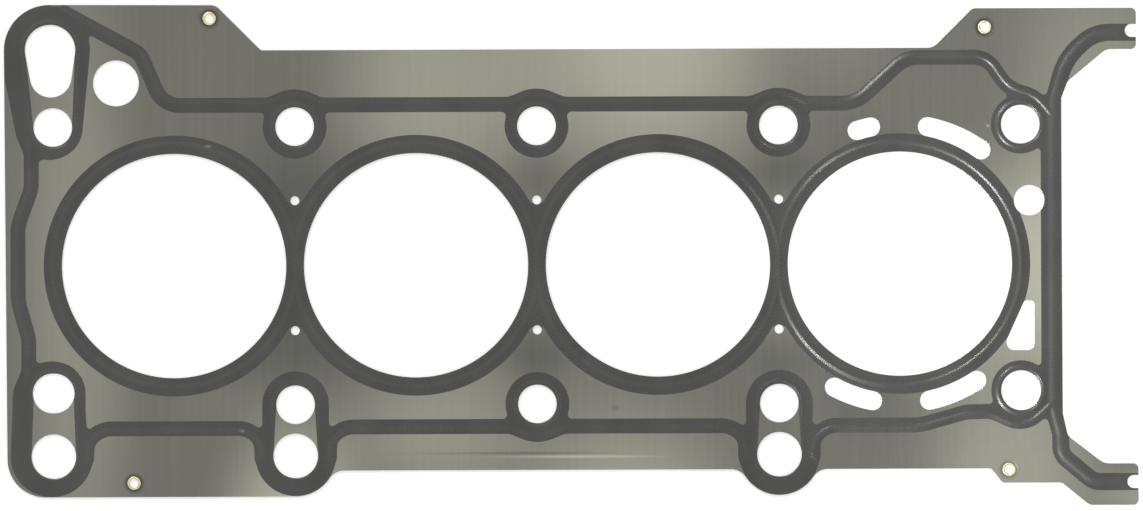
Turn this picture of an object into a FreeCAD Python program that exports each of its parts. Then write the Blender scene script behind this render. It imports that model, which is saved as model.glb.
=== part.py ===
import FreeCAD, Part
import Sketcher
import math
import os

# Cylinder head gasket for a four-cylinder in-line engine.
# A plate of riveted steel layers carries a dark elastomer coat, printed in bands round the bores, bolt holes
# and oil drains and along the edges. Each band rises to a sealing ridge. Four brass eyelets rivet the layers.
# The origin is the middle of the bore row on the underside. +X runs along the row, +Z is up.
# Bolt columns stand at whole multiples of the bore pitch, numbered -2 to 2.

SIZES = {
    "bore_pitch": 86.0,
    "land_width": 6.3,
    "bolt_gap": 9.6,
    "end_bolt_raise": 4.3,
    "bolt_hole_radius": 6.85,
    "dowel_hole_radius": 7.05,
    "dowel_slot_play": 0.35,
    "drain_drop": 18.15,
    "drain_radius": 7.9,
    "oil_hole_radius": 8.15,
    "oil_hole_along": 22.5,
    "oil_hole_rise": 15.6,
    "water_hole_radius": 5.4,
    "water_hole_along": 3.05,
    "water_hole_drop": 27.05,
    "steam_hole_radius": 1.6,
    "steam_hole_drop": 26.35,
    "pear_top_radius": 8.95,
    "pear_low_radius": 7.45,
    "coolant_slot_gap": 6.45,
    "coolant_slot_half_width": 3.4,
    "plate_thickness": 0.75,
    "print_thickness": 0.05,
    "ridge_height": 0.25,
    "bore_ridge_inset": 3.05,
    "ring_ridge_inset": 2.2,
    "ring_outer_width": 2.3,
    "drain_ridge_inset": 3.2,
    "line_half_width": 2.55,
    "horn_half_width": 2.85,
    "line_gap": 7.95,
    "edge_line_gap": 0.1,
    "bump_half_length": 9.5,
    "bump_rise": 3.1,
    "lobe_margin": 6.6,
    "horn_reach": 41.4,
    "notch_radius": 2.3,
    "eyelet_bore_radius": 1.55,
    "eyelet_wall": 0.35,
    "eyelet_lip_width": 0.6,
    "eyelet_lip_height": 0.2,
    "eyelet_hole_clearance": 0.05,
}

WORKED_OUT = {
    "bore_radius": "(bore_pitch - land_width) / 2",
    "bolt_row": "bore_radius + bolt_gap",
    "end_bolt_row": "bolt_row - end_bolt_raise",
    "drain_row": "bolt_row + drain_drop",
    "line_row": "bolt_row + line_gap",
    "slot_ring_radius": "bore_radius + coolant_slot_gap + coolant_slot_half_width",
    "edge_line_along": "water_hole_along + water_hole_radius + edge_line_gap + horn_half_width",
    "barrel_radius": "eyelet_bore_radius + eyelet_wall",
    "lip_radius": "barrel_radius + eyelet_lip_width",
    "eyelet_hole_radius": "barrel_radius + eyelet_hole_clearance",
    "eyelet_height": "plate_thickness + eyelet_lip_height",
}

# Each eyelet as column, side of the row, and its distances from that column and from the bolt row.
EYELETS = [(-1, 1, -30.25, 38.55), (2, 1, -12.6, 34.55), (2, -1, -4.4, 23.85), (-2, -1, 28.5, 27.7)]

# The bores stand between two columns, the drains in line with one. A slot has its two end angles in degrees.
BORES = (-1.5, -0.5, 0.5, 1.5)
DRAINS = (-2, -1, 1)
COOLANT_SLOTS = [(54.3, 78.4), (101.9, 107.6), (-118.1, -101.4), (-77.9, -56.8)]

doc = FreeCAD.newDocument("head_gasket")
sheet = doc.addObject("Spreadsheet::Sheet", "sizes")


def fill_sheet():
    """Write the driving sizes as numbers and the worked-out ones as formulas, each with its alias."""
    row = 1
    for alias, value in SIZES.items():
        sheet.set("A%d" % row, alias)
        sheet.set("B%d" % row, str(value))
        sheet.setAlias("B%d" % row, alias)
        row += 1
    for alias, formula in WORKED_OUT.items():
        sheet.set("A%d" % row, alias)
        sheet.set("B%d" % row, "=" + formula)
        sheet.setAlias("B%d" % row, alias)
        row += 1
    doc.recompute()


def size(alias):
    """Read one size back from the sheet."""
    return float(sheet.get(alias))


def column(number):
    """Give the x of a bolt column."""
    return number * size("bore_pitch")


def column_at(number):
    """Give the x of a bolt column, or of a bore between two columns, as an expression on the sheet."""
    return "sizes.bore_pitch * %s" % number


def vector(x, y, z=0.0):
    return FreeCAD.Vector(x, y, z)


class Run:
    """A straight stretch of a path."""

    def __init__(self, start, end):
        self.start = start
        self.end = end
        along = (end - start).normalize()
        self.left = vector(-along.y, along.x)

    def edge(self):
        return Part.LineSegment(self.start, self.end).toShape()

    def band(self, first, last):
        """Make the band over this stretch. Its widths may change from the start to the end."""
        section = band_section(self.start, self.left, first)
        if first == last:
            return Part.Face(section).extrude(self.end - self.start)
        return Part.makeLoft([section, band_section(self.end, self.left, last)], True, True)


class Bend:
    """A round stretch of a path, about a centre, turning left where the sweep is positive."""

    def __init__(self, centre, radius, first_angle, sweep):
        self.centre = centre
        self.radius = radius
        self.first_angle = first_angle
        self.sweep = sweep
        self.way = 1 if sweep > 0 else -1

    def at(self, share):
        angle = self.first_angle + self.sweep * share
        return self.centre + vector(math.cos(angle), math.sin(angle)) * self.radius

    def edge(self):
        return Part.Arc(self.at(0), self.at(0.5), self.at(1)).toShape()

    def band(self, first, last):
        """Make the band over this stretch, which keeps its first widths all along."""
        start = self.at(0)
        left = (self.centre - start).normalize() * self.way
        section = Part.Face(band_section(start, left, first))
        return section.revolve(self.centre, vector(0, 0, self.way), math.degrees(abs(self.sweep)))


class Opening:
    """A round opening with the widths of the band round it, inside and outside the ridge."""

    def __init__(self, centre, radius, inset, outer):
        self.centre = centre
        self.radius = radius
        self.ridge = radius + inset
        self.widths = (inset, outer)


def band_section(place, left, widths):
    """Make a band's upright section: a low triangle whose ridge stands over the path."""
    ridge = place + vector(0, 0, size("ridge_height"))
    left_foot = place + left * widths[0]
    right_foot = place - left * widths[1]
    return Part.makePolygon([left_foot, ridge, right_foot, left_foot])


def rounded(corners, closed):
    """Turn corners, each an x, a y and a rounding radius, into runs and tangent bends. Radius 0 is sharp."""
    count = len(corners)
    places = [vector(x, y) for x, y, radius in corners]
    pieces = []
    entries = {}
    leaves = {}
    bends = {}
    for i, (x, y, radius) in enumerate(corners):
        entries[i] = leaves[i] = places[i]
        if radius == 0:
            continue
        back = (places[i - 1] - places[i]).normalize()
        ahead = (places[(i + 1) % count] - places[i]).normalize()
        angle = back.getAngle(ahead)
        reach = radius / math.tan(angle / 2)
        entries[i] = places[i] + back * reach
        leaves[i] = places[i] + ahead * reach
        centre = places[i] + (back + ahead).normalize() * (radius / math.sin(angle / 2))
        way = 1 if back.cross(ahead).z < 0 else -1
        spoke = entries[i] - centre
        bends[i] = Bend(centre, radius, math.atan2(spoke.y, spoke.x), way * (math.pi - angle))
    for i in range(count):
        if i in bends:
            pieces.append(bends[i])
        if i + 1 < count or closed:
            after = (i + 1) % count
            if (entries[after] - leaves[i]).Length > 1e-4:
                pieces.append(Run(leaves[i], entries[after]))
    return pieces


def hull(centre_a, radius_a, centre_b, radius_b):
    """Make the closed path of a taut belt about two circles."""
    span = centre_b - centre_a
    heading = math.atan2(span.y, span.x)
    lean = math.acos((radius_a - radius_b) / span.Length)
    low, high = heading - lean, heading + lean
    bend_a = Bend(centre_a, radius_a, high, 2 * math.pi - 2 * lean)
    bend_b = Bend(centre_b, radius_b, low, 2 * lean)
    return [bend_a, Run(bend_a.at(1), bend_b.at(0)), bend_b, Run(bend_b.at(1), bend_a.at(0))]


def ring(centre, radius):
    """Make the path of a full circle."""
    return Bend(centre, radius, 0.0, 2 * math.pi)


def face_within(path):
    """Fill a closed path."""
    return Part.Face(Part.Wire(Part.__sortEdges__([piece.edge() for piece in path])))


def drain_centre(number):
    return vector(column(number), -size("drain_row"))


def bolt_centre(number, side):
    row = size("bolt_row")
    if side < 0 and abs(number) == 2:
        row = size("end_bolt_row")
    return vector(column(number), side * row)


def pear_centre(drop):
    """Give a centre on the pear hole's line, which leans a little outwards, by its height over the bolt."""
    return vector(column(-2) - 0.7 - 0.02 * (drop - 18), size("bolt_row") + drop)


def notch(tip, middle):
    """Give the corners of a horn tip's half-round notch, from its upper lip to its lower one."""
    radius = size("notch_radius")
    root = tip - 3.9
    return [
        (tip, middle + radius, 0),
        (root, middle + radius, radius * 0.98),
        (root, middle - radius, radius * 0.98),
        (tip, middle - radius, 0),
    ]


def lobe(number, base, left_side):
    """Give the corners of the lobe under a drain hole, from right to left."""
    centre = drain_centre(number)
    radius = size("drain_radius") + size("lobe_margin")
    slope = math.radians(35)
    foot = (radius + math.sin(slope) * (base - centre.y)) / math.cos(slope)
    corner = radius * math.tan((math.pi / 2 - slope) / 2)
    corners = [(centre.x + foot, base, 6.0), (centre.x + corner, centre.y - radius, radius)]
    if left_side:
        corners += [(centre.x - corner, centre.y - radius, radius), (centre.x - foot, base, 6.0)]
    return corners


def plate_path():
    """Give the outline of both sheets, clockwise from the corner by the pear hole."""
    west, inner_west, east = column(-2), column(-1), column(2)
    top, low = size("bolt_row"), -size("bolt_row")
    tip = east + size("horn_reach")
    base = low - 23.45
    floor = drain_centre(-1).y - size("drain_radius") - size("lobe_margin")
    corners = [
        (west - 17.4, top + 43.65, 16.2),
        (inner_west - 28.0, top + 43.25, 4.0),
        (inner_west - 11.9, top + 27.15, 1.5),
        (east - 30.9, top + 27.25, 5.0),
        (east - 16.9, top + 41.25, 2.5),
        (tip - 0.2, top + 41.25, 1.8),
    ]
    corners += notch(tip - 0.2, top + 33.2)
    corners += [
        (tip - 0.2, top + 26.6, 1.8),
        (east + 30.6, top + 26.6, 5.0),
        (east + 16.9, top + 15.25, 4.0),
        (east + 14.6, top + 9.3, 3.0),
        (east + 14.8, low - 4.0, 4.0),
        (east + 16.6, low - 12.0, 4.0),
        (east + 29.4, low - 21.85, 6.0),
        (tip + 0.2, low - 21.85, 1.8),
    ]
    corners += notch(tip + 0.2, low - 28.3)
    corners += [
        (tip + 0.2, low - 36.55, 1.8),
        (east + 24.2, low - 36.55, 4.0),
        (east + 14.4, low - 28.55, 2.5),
        (east - 6.8, low - 28.55, 1.8),
        (east - 10.7, base, 1.8),
    ]
    corners += lobe(1, base, True)
    corners += lobe(-1, base, False)
    corners += [(west - 16.4, floor, 13.5)]
    return rounded(corners, True)


def add_passage(name, x, y, radius):
    """Add a round passage as a cylinder whose sizes and place are bound to the sheet."""
    hole = doc.addObject("Part::Cylinder", name)
    hole.setExpression("Radius", "sizes." + radius)
    hole.setExpression("Height", "sizes.plate_thickness + 2")
    hole.setExpression("Placement.Base.x", x)
    hole.setExpression("Placement.Base.y", y)
    hole.Placement.Base.z = -1
    return hole


def add_shaped_passage(name, path):
    """Add a passage of any other outline as an extruded face."""
    face = doc.addObject("Part::Feature", name + "_face")
    face.Shape = face_within(path)
    face.Placement.Base.z = -1
    hole = doc.addObject("Part::Extrusion", name)
    hole.Base = face
    hole.DirMode = "Custom"
    hole.Dir = vector(0, 0, 1)
    hole.Solid = True
    hole.setExpression("LengthFwd", "sizes.plate_thickness + 2")
    return hole


def arc_slot(first_degrees, last_degrees):
    """Give the path of a coolant slot round the last bore, between the centres of its two round ends."""
    centre = vector(column(2) - column(1) / 2, 0)
    half, radius = size("coolant_slot_half_width"), size("slot_ring_radius")
    first, last = math.radians(first_degrees), math.radians(last_degrees)
    ends = [centre + vector(math.cos(a), math.sin(a)) * radius for a in (first, last)]
    return [
        Bend(centre, radius + half, first, last - first),
        Bend(ends[1], half, last, math.pi),
        Bend(centre, radius - half, last, first - last),
        Bend(ends[0], half, first + math.pi, math.pi),
    ]


def add_passages():
    """Add every hole through the plate and give them as a list of solids to cut."""
    holes = []
    for i, number in enumerate(BORES):
        holes.append(add_passage("bore_hole_%d" % (i + 1), column_at(number), "0", "bore_radius"))
    for number in range(-2, 3):
        x = column_at(number)
        tag = number + 3
        holes.append(add_passage("top_bolt_hole_%d" % tag, x, "sizes.bolt_row", "bolt_hole_radius"))
        if abs(number) < 2:
            holes.append(add_passage("low_bolt_hole_%d" % tag, x, "-sizes.bolt_row", "bolt_hole_radius"))
            steam_row = "(sizes.bolt_row - sizes.steam_hole_drop)"
            holes.append(add_passage("top_steam_hole_%d" % tag, x, steam_row, "steam_hole_radius"))
            holes.append(add_passage("low_steam_hole_%d" % tag, x, "-" + steam_row, "steam_hole_radius"))
        if number in DRAINS:
            holes.append(add_passage("drain_hole_%d" % tag, x, "-sizes.drain_row", "drain_radius"))
    east, west = column_at(2), column_at(-2)
    holes.append(add_passage("dowel_hole", east, "-sizes.end_bolt_row", "dowel_hole_radius"))
    oil = west + " + sizes.oil_hole_along", "sizes.bolt_row + sizes.oil_hole_rise"
    holes.append(add_passage("oil_hole", oil[0], oil[1], "oil_hole_radius"))
    water = east + " + sizes.water_hole_along", "sizes.bolt_row - sizes.water_hole_drop"
    holes.append(add_passage("water_hole", water[0], water[1], "water_hole_radius"))
    play = vector(size("dowel_slot_play"), 0)
    middle = bolt_centre(-2, -1)
    radius = size("dowel_hole_radius")
    holes.append(add_shaped_passage("dowel_slot", hull(middle - play, radius, middle + play, radius)))
    pear = hull(pear_centre(18.1), size("pear_low_radius"), pear_centre(27.5), size("pear_top_radius"))
    holes.append(add_shaped_passage("pear_hole", pear))
    for i, (first, last) in enumerate(COOLANT_SLOTS):
        holes.append(add_shaped_passage("coolant_slot_%d" % (i + 1), arc_slot(first, last)))
    right, low = column(2) + 4.9, -size("bolt_row")
    window = [(right - 3.6, low + 36.25, 1.2), (right, low + 36.25, 1.6), (right, low + 18.55, 2.6)]
    window.append((right - 11.6, low + 18.55, 2.8))
    holes.append(add_shaped_passage("corner_window", rounded(window, True)))
    return holes


def bump(number, row, way):
    """Give the corners where an edge line steps outwards round a bolt hole."""
    x, half = column(number), size("bump_half_length")
    return [(x - half, row, 10.0), (x, row + size("bump_rise") * way, 12.0), (x + half, row, 10.0)]


def top_line():
    """Give the line of the top edge, from the pear hole's loop to the right-hand edge line."""
    row, west, inner_east, east = size("line_row"), column(-2), column(1), column(2)
    corners = [(west + 6.5, row + 30.0, 0), (west + 31.3, row + 17.8, 7.0), (west + 39.0, row, 9.5)]
    for number in (-1, 0, 1):
        corners += bump(number, row, 1)
    corners += [
        (inner_east + 26.6, row, 13.0),
        (inner_east + 44.6, row + 16.1, 11.0),
        (east - 12.3, row + 16.1, 5.5),
        (east - 4.6, row + 4.6, 6.0),
        (east + 5.0, row + 1.4, 6.0),
        (east + size("edge_line_along"), row - 5.9, 0),
    ]
    return rounded(corners, False)


def low_line(first, last, middle_corners):
    """Give a line of the bottom edge between the loops of two drains, joined to their sides."""
    row = -size("line_row")
    side = size("drain_radius") + size("drain_ridge_inset")
    start, end = column(first) + side, column(last) - side
    corners = [(start, -size("drain_row"), 0), (start, row, 9.5)]
    corners += middle_corners
    corners += [(end, row, 9.5), (end, -size("drain_row"), 0)]
    return rounded(corners, False)


def low_right_line():
    """Give the line from the last drain's loop to the right-hand edge line."""
    row, east = -size("line_row"), column(2)
    start = column(1) + size("drain_radius") + size("drain_ridge_inset")
    corners = [
        (start, -size("drain_row"), 0),
        (start, row, 9.5),
        (east - 36.0, row, 20.0),
        (east - 19.5, row + 4.8, 12.0),
        (east - 10.5, row + 5.0, 10.0),
        (east + 1.2, row - 0.6, 9.0),
        (east + size("edge_line_along"), row + 8.9, 0),
    ]
    return rounded(corners, False)


def left_line():
    """Give the line down the left edge, between the loops of the two corner bolts."""
    west, top, low = column(-2), size("bolt_row"), -size("end_bolt_row")
    corners = [
        (west - 7.7, top - 5.4, 0),
        (west - 7.7, top - 21.9, 14.0),
        (west - 12.5, top - 34.9, 16.0),
        (west - 12.5, low + 32.6, 16.0),
        (west - 8.8, low + 19.6, 14.0),
        (west - 8.8, low + 3.6, 0),
    ]
    return rounded(corners, False)


def right_line():
    """Give the line down the right edge, which runs out along both horns to their notches."""
    east, row, low = column(2), size("line_row"), -size("line_row")
    tip = east + size("horn_reach") - 4.5
    edge = east + size("edge_line_along")
    corners = [
        (tip, row + 25.25, 0),
        (east + 26.0, row + 25.25, 14.0),
        (east + 16.2, row + 15.1, 22.0),
        (edge, row - 1.4, 25.0),
        (edge, low + 6.4, 10.0),
        (edge + 2.6, low - 3.6, 10.0),
        (edge + 2.7, low - 10.6, 6.0),
        (east + 25.7, low - 20.35, 6.0),
        (tip, low - 20.35, 0),
    ]
    return rounded(corners, False)


def line_bands():
    """Make the bands that follow the edges."""
    narrow, wide = size("line_half_width"), size("horn_half_width")
    lines = [
        (top_line(), narrow),
        (low_line(-2, -1, []), narrow),
        (low_line(-1, 1, bump(0, -size("line_row"), -1)), narrow),
        (low_right_line(), narrow),
        (left_line(), narrow),
        (right_line(), wide),
    ]
    return [piece.band((half, half), (half, half)) for path, half in lines for piece in path]


def bore_band(number):
    """Make the band round a bore, up to the middles of the lands beside it."""
    centre = vector(column(number), 0)
    inset = size("bore_ridge_inset")
    widths = (inset, size("coolant_slot_gap") - inset)
    whole = ring(centre, size("bore_radius") + inset).band(widths, widths)
    first = number - (1.0 if number == BORES[0] else 0.5)
    last = number + (1.0 if number == BORES[-1] else 0.5)
    half_length = column(1)
    room = Part.makeBox(column(last - first), 2 * half_length, 2, vector(column(first), -half_length, -1))
    return whole.common(room)


def bolt_opening(number, side):
    """Give a bolt hole with its band's widths."""
    radius = size("bolt_hole_radius")
    if side < 0 and number == 2:
        radius = size("dowel_hole_radius")
    if side < 0 and number == -2:
        radius = size("dowel_hole_radius") + size("dowel_slot_play")
    return Opening(bolt_centre(number, side), radius, size("ring_ridge_inset"), size("ring_outer_width"))


def loop_openings():
    """Give each bolt hole and the passage beside it that one loop of band goes round."""
    inset = size("drain_ridge_inset")
    drains = [Opening(drain_centre(number), size("drain_radius"), inset, inset) for number in DRAINS]
    loops = [(bolt_opening(number, -1), drain) for number, drain in zip(DRAINS, drains)]
    pear = Opening(pear_centre(27.5), size("pear_top_radius"), inset, inset)
    loops.append((bolt_opening(-2, 1), pear))
    return loops


def loop_bands(bolt, drain):
    """Make the band of a loop, in two bends and two tapered runs."""
    bends_and_runs = hull(bolt.centre, bolt.ridge, drain.centre, drain.ridge)
    widths = [bolt.widths, bolt.widths, drain.widths, drain.widths, bolt.widths]
    return [piece.band(widths[i], widths[i + 1]) for i, piece in enumerate(bends_and_runs)]


def corner_fields():
    """Make the thin fields outside the two left loops, which widen towards the plate's edge."""
    loops = loop_openings()
    outer_edges = [
        (loops[0], vector(-3.2, -1.3), 11.3, vector(0, 0), 14.2),
        (loops[3], vector(-2.4, 0), 11.8, vector(-1.4, 0.2), 14.5),
    ]
    fields = []
    for (bolt, drain), bolt_shift, bolt_reach, drain_shift, drain_reach in outer_edges:
        field = hull(bolt.centre + bolt_shift, bolt_reach, drain.centre + drain_shift, drain_reach)
        inside = hull(bolt.centre, bolt.ridge, drain.centre, drain.ridge)
        flat = face_within(field).cut(face_within(inside))
        fields.append(flat.extrude(vector(0, 0, size("print_thickness"))))
    return fields


def add_coating():
    """Add the printed coat: all bands and fields in one, less the two openings that cut into a band."""
    pieces = [bore_band(number) for number in BORES]
    for number, side in ((-1, 1), (0, 1), (1, 1), (2, 1), (0, -1), (2, -1)):
        bolt = bolt_opening(number, side)
        pieces.append(ring(bolt.centre, bolt.ridge).band(bolt.widths, bolt.widths))
    for bolt, drain in loop_openings():
        pieces += loop_bands(bolt, drain)
    pieces += line_bands()
    pieces += corner_fields()
    printed = doc.addObject("Part::Feature", "printed_bands")
    printed.Shape = pieces[0].multiFuse(pieces[1:]).removeSplitter()
    printed.setExpression("Placement.Base.z", "sizes.plate_thickness")
    openings = doc.addObject("Part::MultiFuse", "openings_in_bands")
    openings.Shapes = [doc.getObject("water_hole"), doc.getObject("corner_window")]
    coating = doc.addObject("Part::Cut", "seal_coating")
    coating.Base = printed
    coating.Tool = openings
    coating.Label = "seal_coating"
    return coating


def add_plate(cutters):
    """Add the steel plate: its outline extruded to its thickness, less every hole."""
    outline = doc.addObject("Part::Feature", "plate_outline")
    outline.Shape = face_within(plate_path())
    blank = doc.addObject("Part::Extrusion", "plate_blank")
    blank.Base = outline
    blank.DirMode = "Custom"
    blank.Dir = vector(0, 0, 1)
    blank.Solid = True
    blank.setExpression("LengthFwd", "sizes.plate_thickness")
    holes = doc.addObject("Part::MultiFuse", "holes")
    holes.Shapes = cutters
    plate = doc.addObject("Part::Cut", "steel_plate")
    plate.Base = blank
    plate.Tool = holes
    plate.Label = "steel_plate"
    return plate


def eyelet_place(index):
    """Give the x and y of an eyelet as expressions on the sheet."""
    number, side, along, across = EYELETS[index]
    x = "sizes.bore_pitch * %d + %s" % (number, along)
    y = "%d * (sizes.bolt_row + %s)" % (side, across)
    return x, y


def add_barrel_holes():
    """Add the hole of each eyelet's barrel and give them as a list."""
    holes = []
    for i in range(len(EYELETS)):
        x, y = eyelet_place(i)
        holes.append(add_passage("barrel_hole_%d" % (i + 1), x, y, "eyelet_hole_radius"))
    return holes


def add_eyelet(index):
    """Add one eyelet as a revolved profile: a barrel with a lip that slopes down over the plate."""
    name = "eyelet_%d" % (index + 1)
    body = doc.addObject("PartDesign::Body", name)
    profile = body.newObject("Sketcher::SketchObject", name + "_profile")
    plane = [item for item in body.Origin.OriginFeatures if item.Role == "XZ_Plane"][0]
    profile.AttachmentSupport = [(plane, "")]
    profile.MapMode = "FlatFace"
    inner, barrel, lip = size("eyelet_bore_radius"), size("barrel_radius"), size("lip_radius")
    seat, top = size("plate_thickness"), size("eyelet_height")
    points = [(inner, 0), (barrel, 0), (barrel, seat), (lip, seat), (inner, top)]
    count = len(points)
    for i, place in enumerate(points):
        profile.addGeometry(Part.LineSegment(vector(*place), vector(*points[(i + 1) % count])), False)
    for i in range(count):
        profile.addConstraint(Sketcher.Constraint("Coincident", i, 2, (i + 1) % count, 1))
    for line, way in ((0, "Horizontal"), (1, "Vertical"), (2, "Horizontal"), (4, "Vertical")):
        profile.addConstraint(Sketcher.Constraint(way, line))
    bound = [
        ("DistanceX", 0, "inner", inner, "eyelet_bore_radius"),
        ("DistanceX", 1, "barrel", barrel, "barrel_radius"),
        ("DistanceX", 3, "lip", lip, "lip_radius"),
        ("DistanceY", 2, "seat", seat, "plate_thickness"),
        ("DistanceY", 4, "top", top, "eyelet_height"),
    ]
    for way, line, label, value, alias in bound:
        number = profile.addConstraint(Sketcher.Constraint(way, -1, 1, line, 1, value))
        profile.renameConstraint(number, label)
        profile.setExpression("Constraints." + label, "sizes." + alias)
    profile.addConstraint(Sketcher.Constraint("PointOnObject", 0, 1, -1))
    turned = body.newObject("PartDesign::Revolution", name + "_turned")
    turned.Profile = profile
    turned.ReferenceAxis = (profile, ["V_Axis"])
    turned.Angle = 360
    x, y = eyelet_place(index)
    body.setExpression("Placement.Base.x", x)
    body.setExpression("Placement.Base.y", y)
    return body


def add_eyelets():
    """Add the four eyelets as one group of solids."""
    group = doc.addObject("Part::Compound", "eyelets")
    group.Links = [add_eyelet(i) for i in range(len(EYELETS))]
    group.Label = "eyelets"
    return group


def check_objects():
    """Stop where an object failed to build."""
    for item in doc.Objects:
        if any(word in item.State for word in ("Invalid", "Error")):
            raise RuntimeError("%s did not build" % item.Name)


def export(nodes):
    """Write each sub-part to its own file."""
    os.makedirs("parts", exist_ok=True)
    for node in nodes:
        if node.Shape.isNull() or not node.Shape.isValid():
            raise RuntimeError("%s has a bad shape" % node.Label)
        node.Shape.exportStep("parts/%s.step" % node.Label)
        print(node.Label, len(node.Shape.Solids), "solids", round(node.Shape.Volume, 2), "mm3")


fill_sheet()
plate = add_plate(add_passages() + add_barrel_holes())
coating = add_coating()
eyelets = add_eyelets()
doc.recompute()
check_objects()
export([plate, coating, eyelets])
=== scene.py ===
"""Visual model of a four-cylinder head gasket: a riveted steel plate, its printed coat and its eyelets.

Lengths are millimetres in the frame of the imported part. The origin is the middle of the bore row on the
underside, +X runs along the row and +Z is up. Meshes are written in metres.
"""

from __future__ import annotations

import logging
import math
from dataclasses import dataclass
from enum import Enum
from typing import Callable, Sequence, Union

import bpy
import numpy as np
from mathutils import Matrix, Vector
from mathutils.geometry import delaunay_2d_cdt

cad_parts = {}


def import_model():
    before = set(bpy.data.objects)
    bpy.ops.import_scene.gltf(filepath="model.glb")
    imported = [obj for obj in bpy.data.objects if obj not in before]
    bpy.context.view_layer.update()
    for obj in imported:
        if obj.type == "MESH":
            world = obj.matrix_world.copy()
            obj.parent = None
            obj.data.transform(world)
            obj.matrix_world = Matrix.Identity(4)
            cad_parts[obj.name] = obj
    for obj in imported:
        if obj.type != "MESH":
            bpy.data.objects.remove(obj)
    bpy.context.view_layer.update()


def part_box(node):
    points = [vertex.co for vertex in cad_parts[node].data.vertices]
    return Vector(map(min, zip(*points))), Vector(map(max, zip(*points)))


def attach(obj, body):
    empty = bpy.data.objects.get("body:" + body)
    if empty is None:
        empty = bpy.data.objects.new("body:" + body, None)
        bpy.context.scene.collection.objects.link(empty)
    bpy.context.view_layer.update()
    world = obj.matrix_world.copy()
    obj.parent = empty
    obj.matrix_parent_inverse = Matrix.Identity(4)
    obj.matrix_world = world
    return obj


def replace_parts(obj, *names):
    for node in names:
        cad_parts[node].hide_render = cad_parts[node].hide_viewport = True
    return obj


LOG = logging.getLogger("head_gasket")
BODY = "root"

# The metres in a millimetre.
MM = 0.001
# Distances from a path are worked out up to this one, which is all that the bands and beads need.
REACH = 9.0
# The largest angle between two neighbouring places on a bend.
WIDEST_TURN = math.radians(7.0)
# Places on a path are this far apart where they give its box, and where they tell its inside from outside.
BOX_PITCH = 1.0
INSIDE_PITCH = 0.8
# A shorter run is left out of a path, and nearer points of a net are one point.
SHORTEST_RUN = 1e-4
NEAREST_POINTS = 1e-7
# How far the grain of a finish stands out, in metres.
GRAIN_DEPTH = 0.00001
# The range that a noise keeps to nearly everywhere.
NOISE_LOW = 0.3
NOISE_HIGH = 0.7

Place = tuple[float, float]
Range = tuple[float, float]
Corner = tuple[float, float, float]
Colour = tuple[float, float, float]
Stretch = tuple[float, float, float]
Measure = Callable[[np.ndarray], np.ndarray]
Socket = bpy.types.NodeSocket
Feed = Union[bpy.types.NodeSocket, float]


@dataclass(frozen=True)
class Run:
    """A straight stretch of a path."""

    start: Place
    end: Place

    def places(self, pitch: float) -> np.ndarray:
        """Give places along the run, without its end.

        Args:
            pitch: The largest distance between two places.

        Returns:
            The places, one a row.
        """
        span = np.subtract(self.end, self.start)
        count = max(1, math.ceil(float(np.hypot(*span)) / pitch))
        return np.array(self.start) + np.arange(count)[:, None] / count * span

    def distance(self, points: np.ndarray) -> np.ndarray:
        """Give each point's distance from the run.

        Args:
            points: Points, one a row.

        Returns:
            One distance a point.
        """
        span = np.subtract(self.end, self.start)
        share = np.clip((points - self.start) @ span / (span @ span), 0, 1)
        return np.linalg.norm(points - self.start - share[:, None] * span, axis=1)

    def on_left(self, points: np.ndarray) -> np.ndarray:
        """Tell which points lie to the left of the run."""
        span = np.subtract(self.end, self.start)
        return (points - self.start) @ np.array([-span[1], span[0]]) > 0


@dataclass(frozen=True)
class Bend:
    """A round stretch of a path, turning left where the sweep is positive."""

    centre: Place
    radius: float
    first: float
    sweep: float

    @property
    def start(self) -> Place:
        """Give the place where the bend begins."""
        return self.at(0.0)

    @property
    def end(self) -> Place:
        """Give the place where the bend ends."""
        return self.at(1.0)

    def at(self, share: float) -> Place:
        """Give a place on the bend.

        Args:
            share: Its share of the sweep.

        Returns:
            The place.
        """
        angle = self.first + self.sweep * share
        x, y = self.centre
        return (x + self.radius * math.cos(angle), y + self.radius * math.sin(angle))

    def places(self, pitch: float) -> np.ndarray:
        """Give places along the bend, without its end.

        Args:
            pitch: The largest distance between two places.

        Returns:
            The places, one a row.
        """
        turn = abs(self.sweep)
        count = max(math.ceil(self.radius * turn / pitch), math.ceil(turn / WIDEST_TURN))
        angles = self.first + self.sweep * np.arange(count) / count
        return self.centre + self.radius * np.column_stack([np.cos(angles), np.sin(angles)])

    def distance(self, points: np.ndarray) -> np.ndarray:
        """Give each point's distance from the bend.

        Args:
            points: Points, one a row.

        Returns:
            One distance a point.
        """
        spoke = points - self.centre
        turned = (np.arctan2(spoke[:, 1], spoke[:, 0]) - self.first) * math.copysign(1.0, self.sweep)
        from_arc = np.abs(np.linalg.norm(spoke, axis=1) - self.radius)
        from_ends = [np.linalg.norm(points - end, axis=1) for end in (self.start, self.end)]
        return np.where(np.mod(turned, 2 * math.pi) <= abs(self.sweep), from_arc, np.minimum(*from_ends))

    def on_left(self, points: np.ndarray) -> np.ndarray:
        """Tell which points lie to the left of the bend."""
        return (np.linalg.norm(points - self.centre, axis=1) < self.radius) == (self.sweep > 0)


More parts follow.
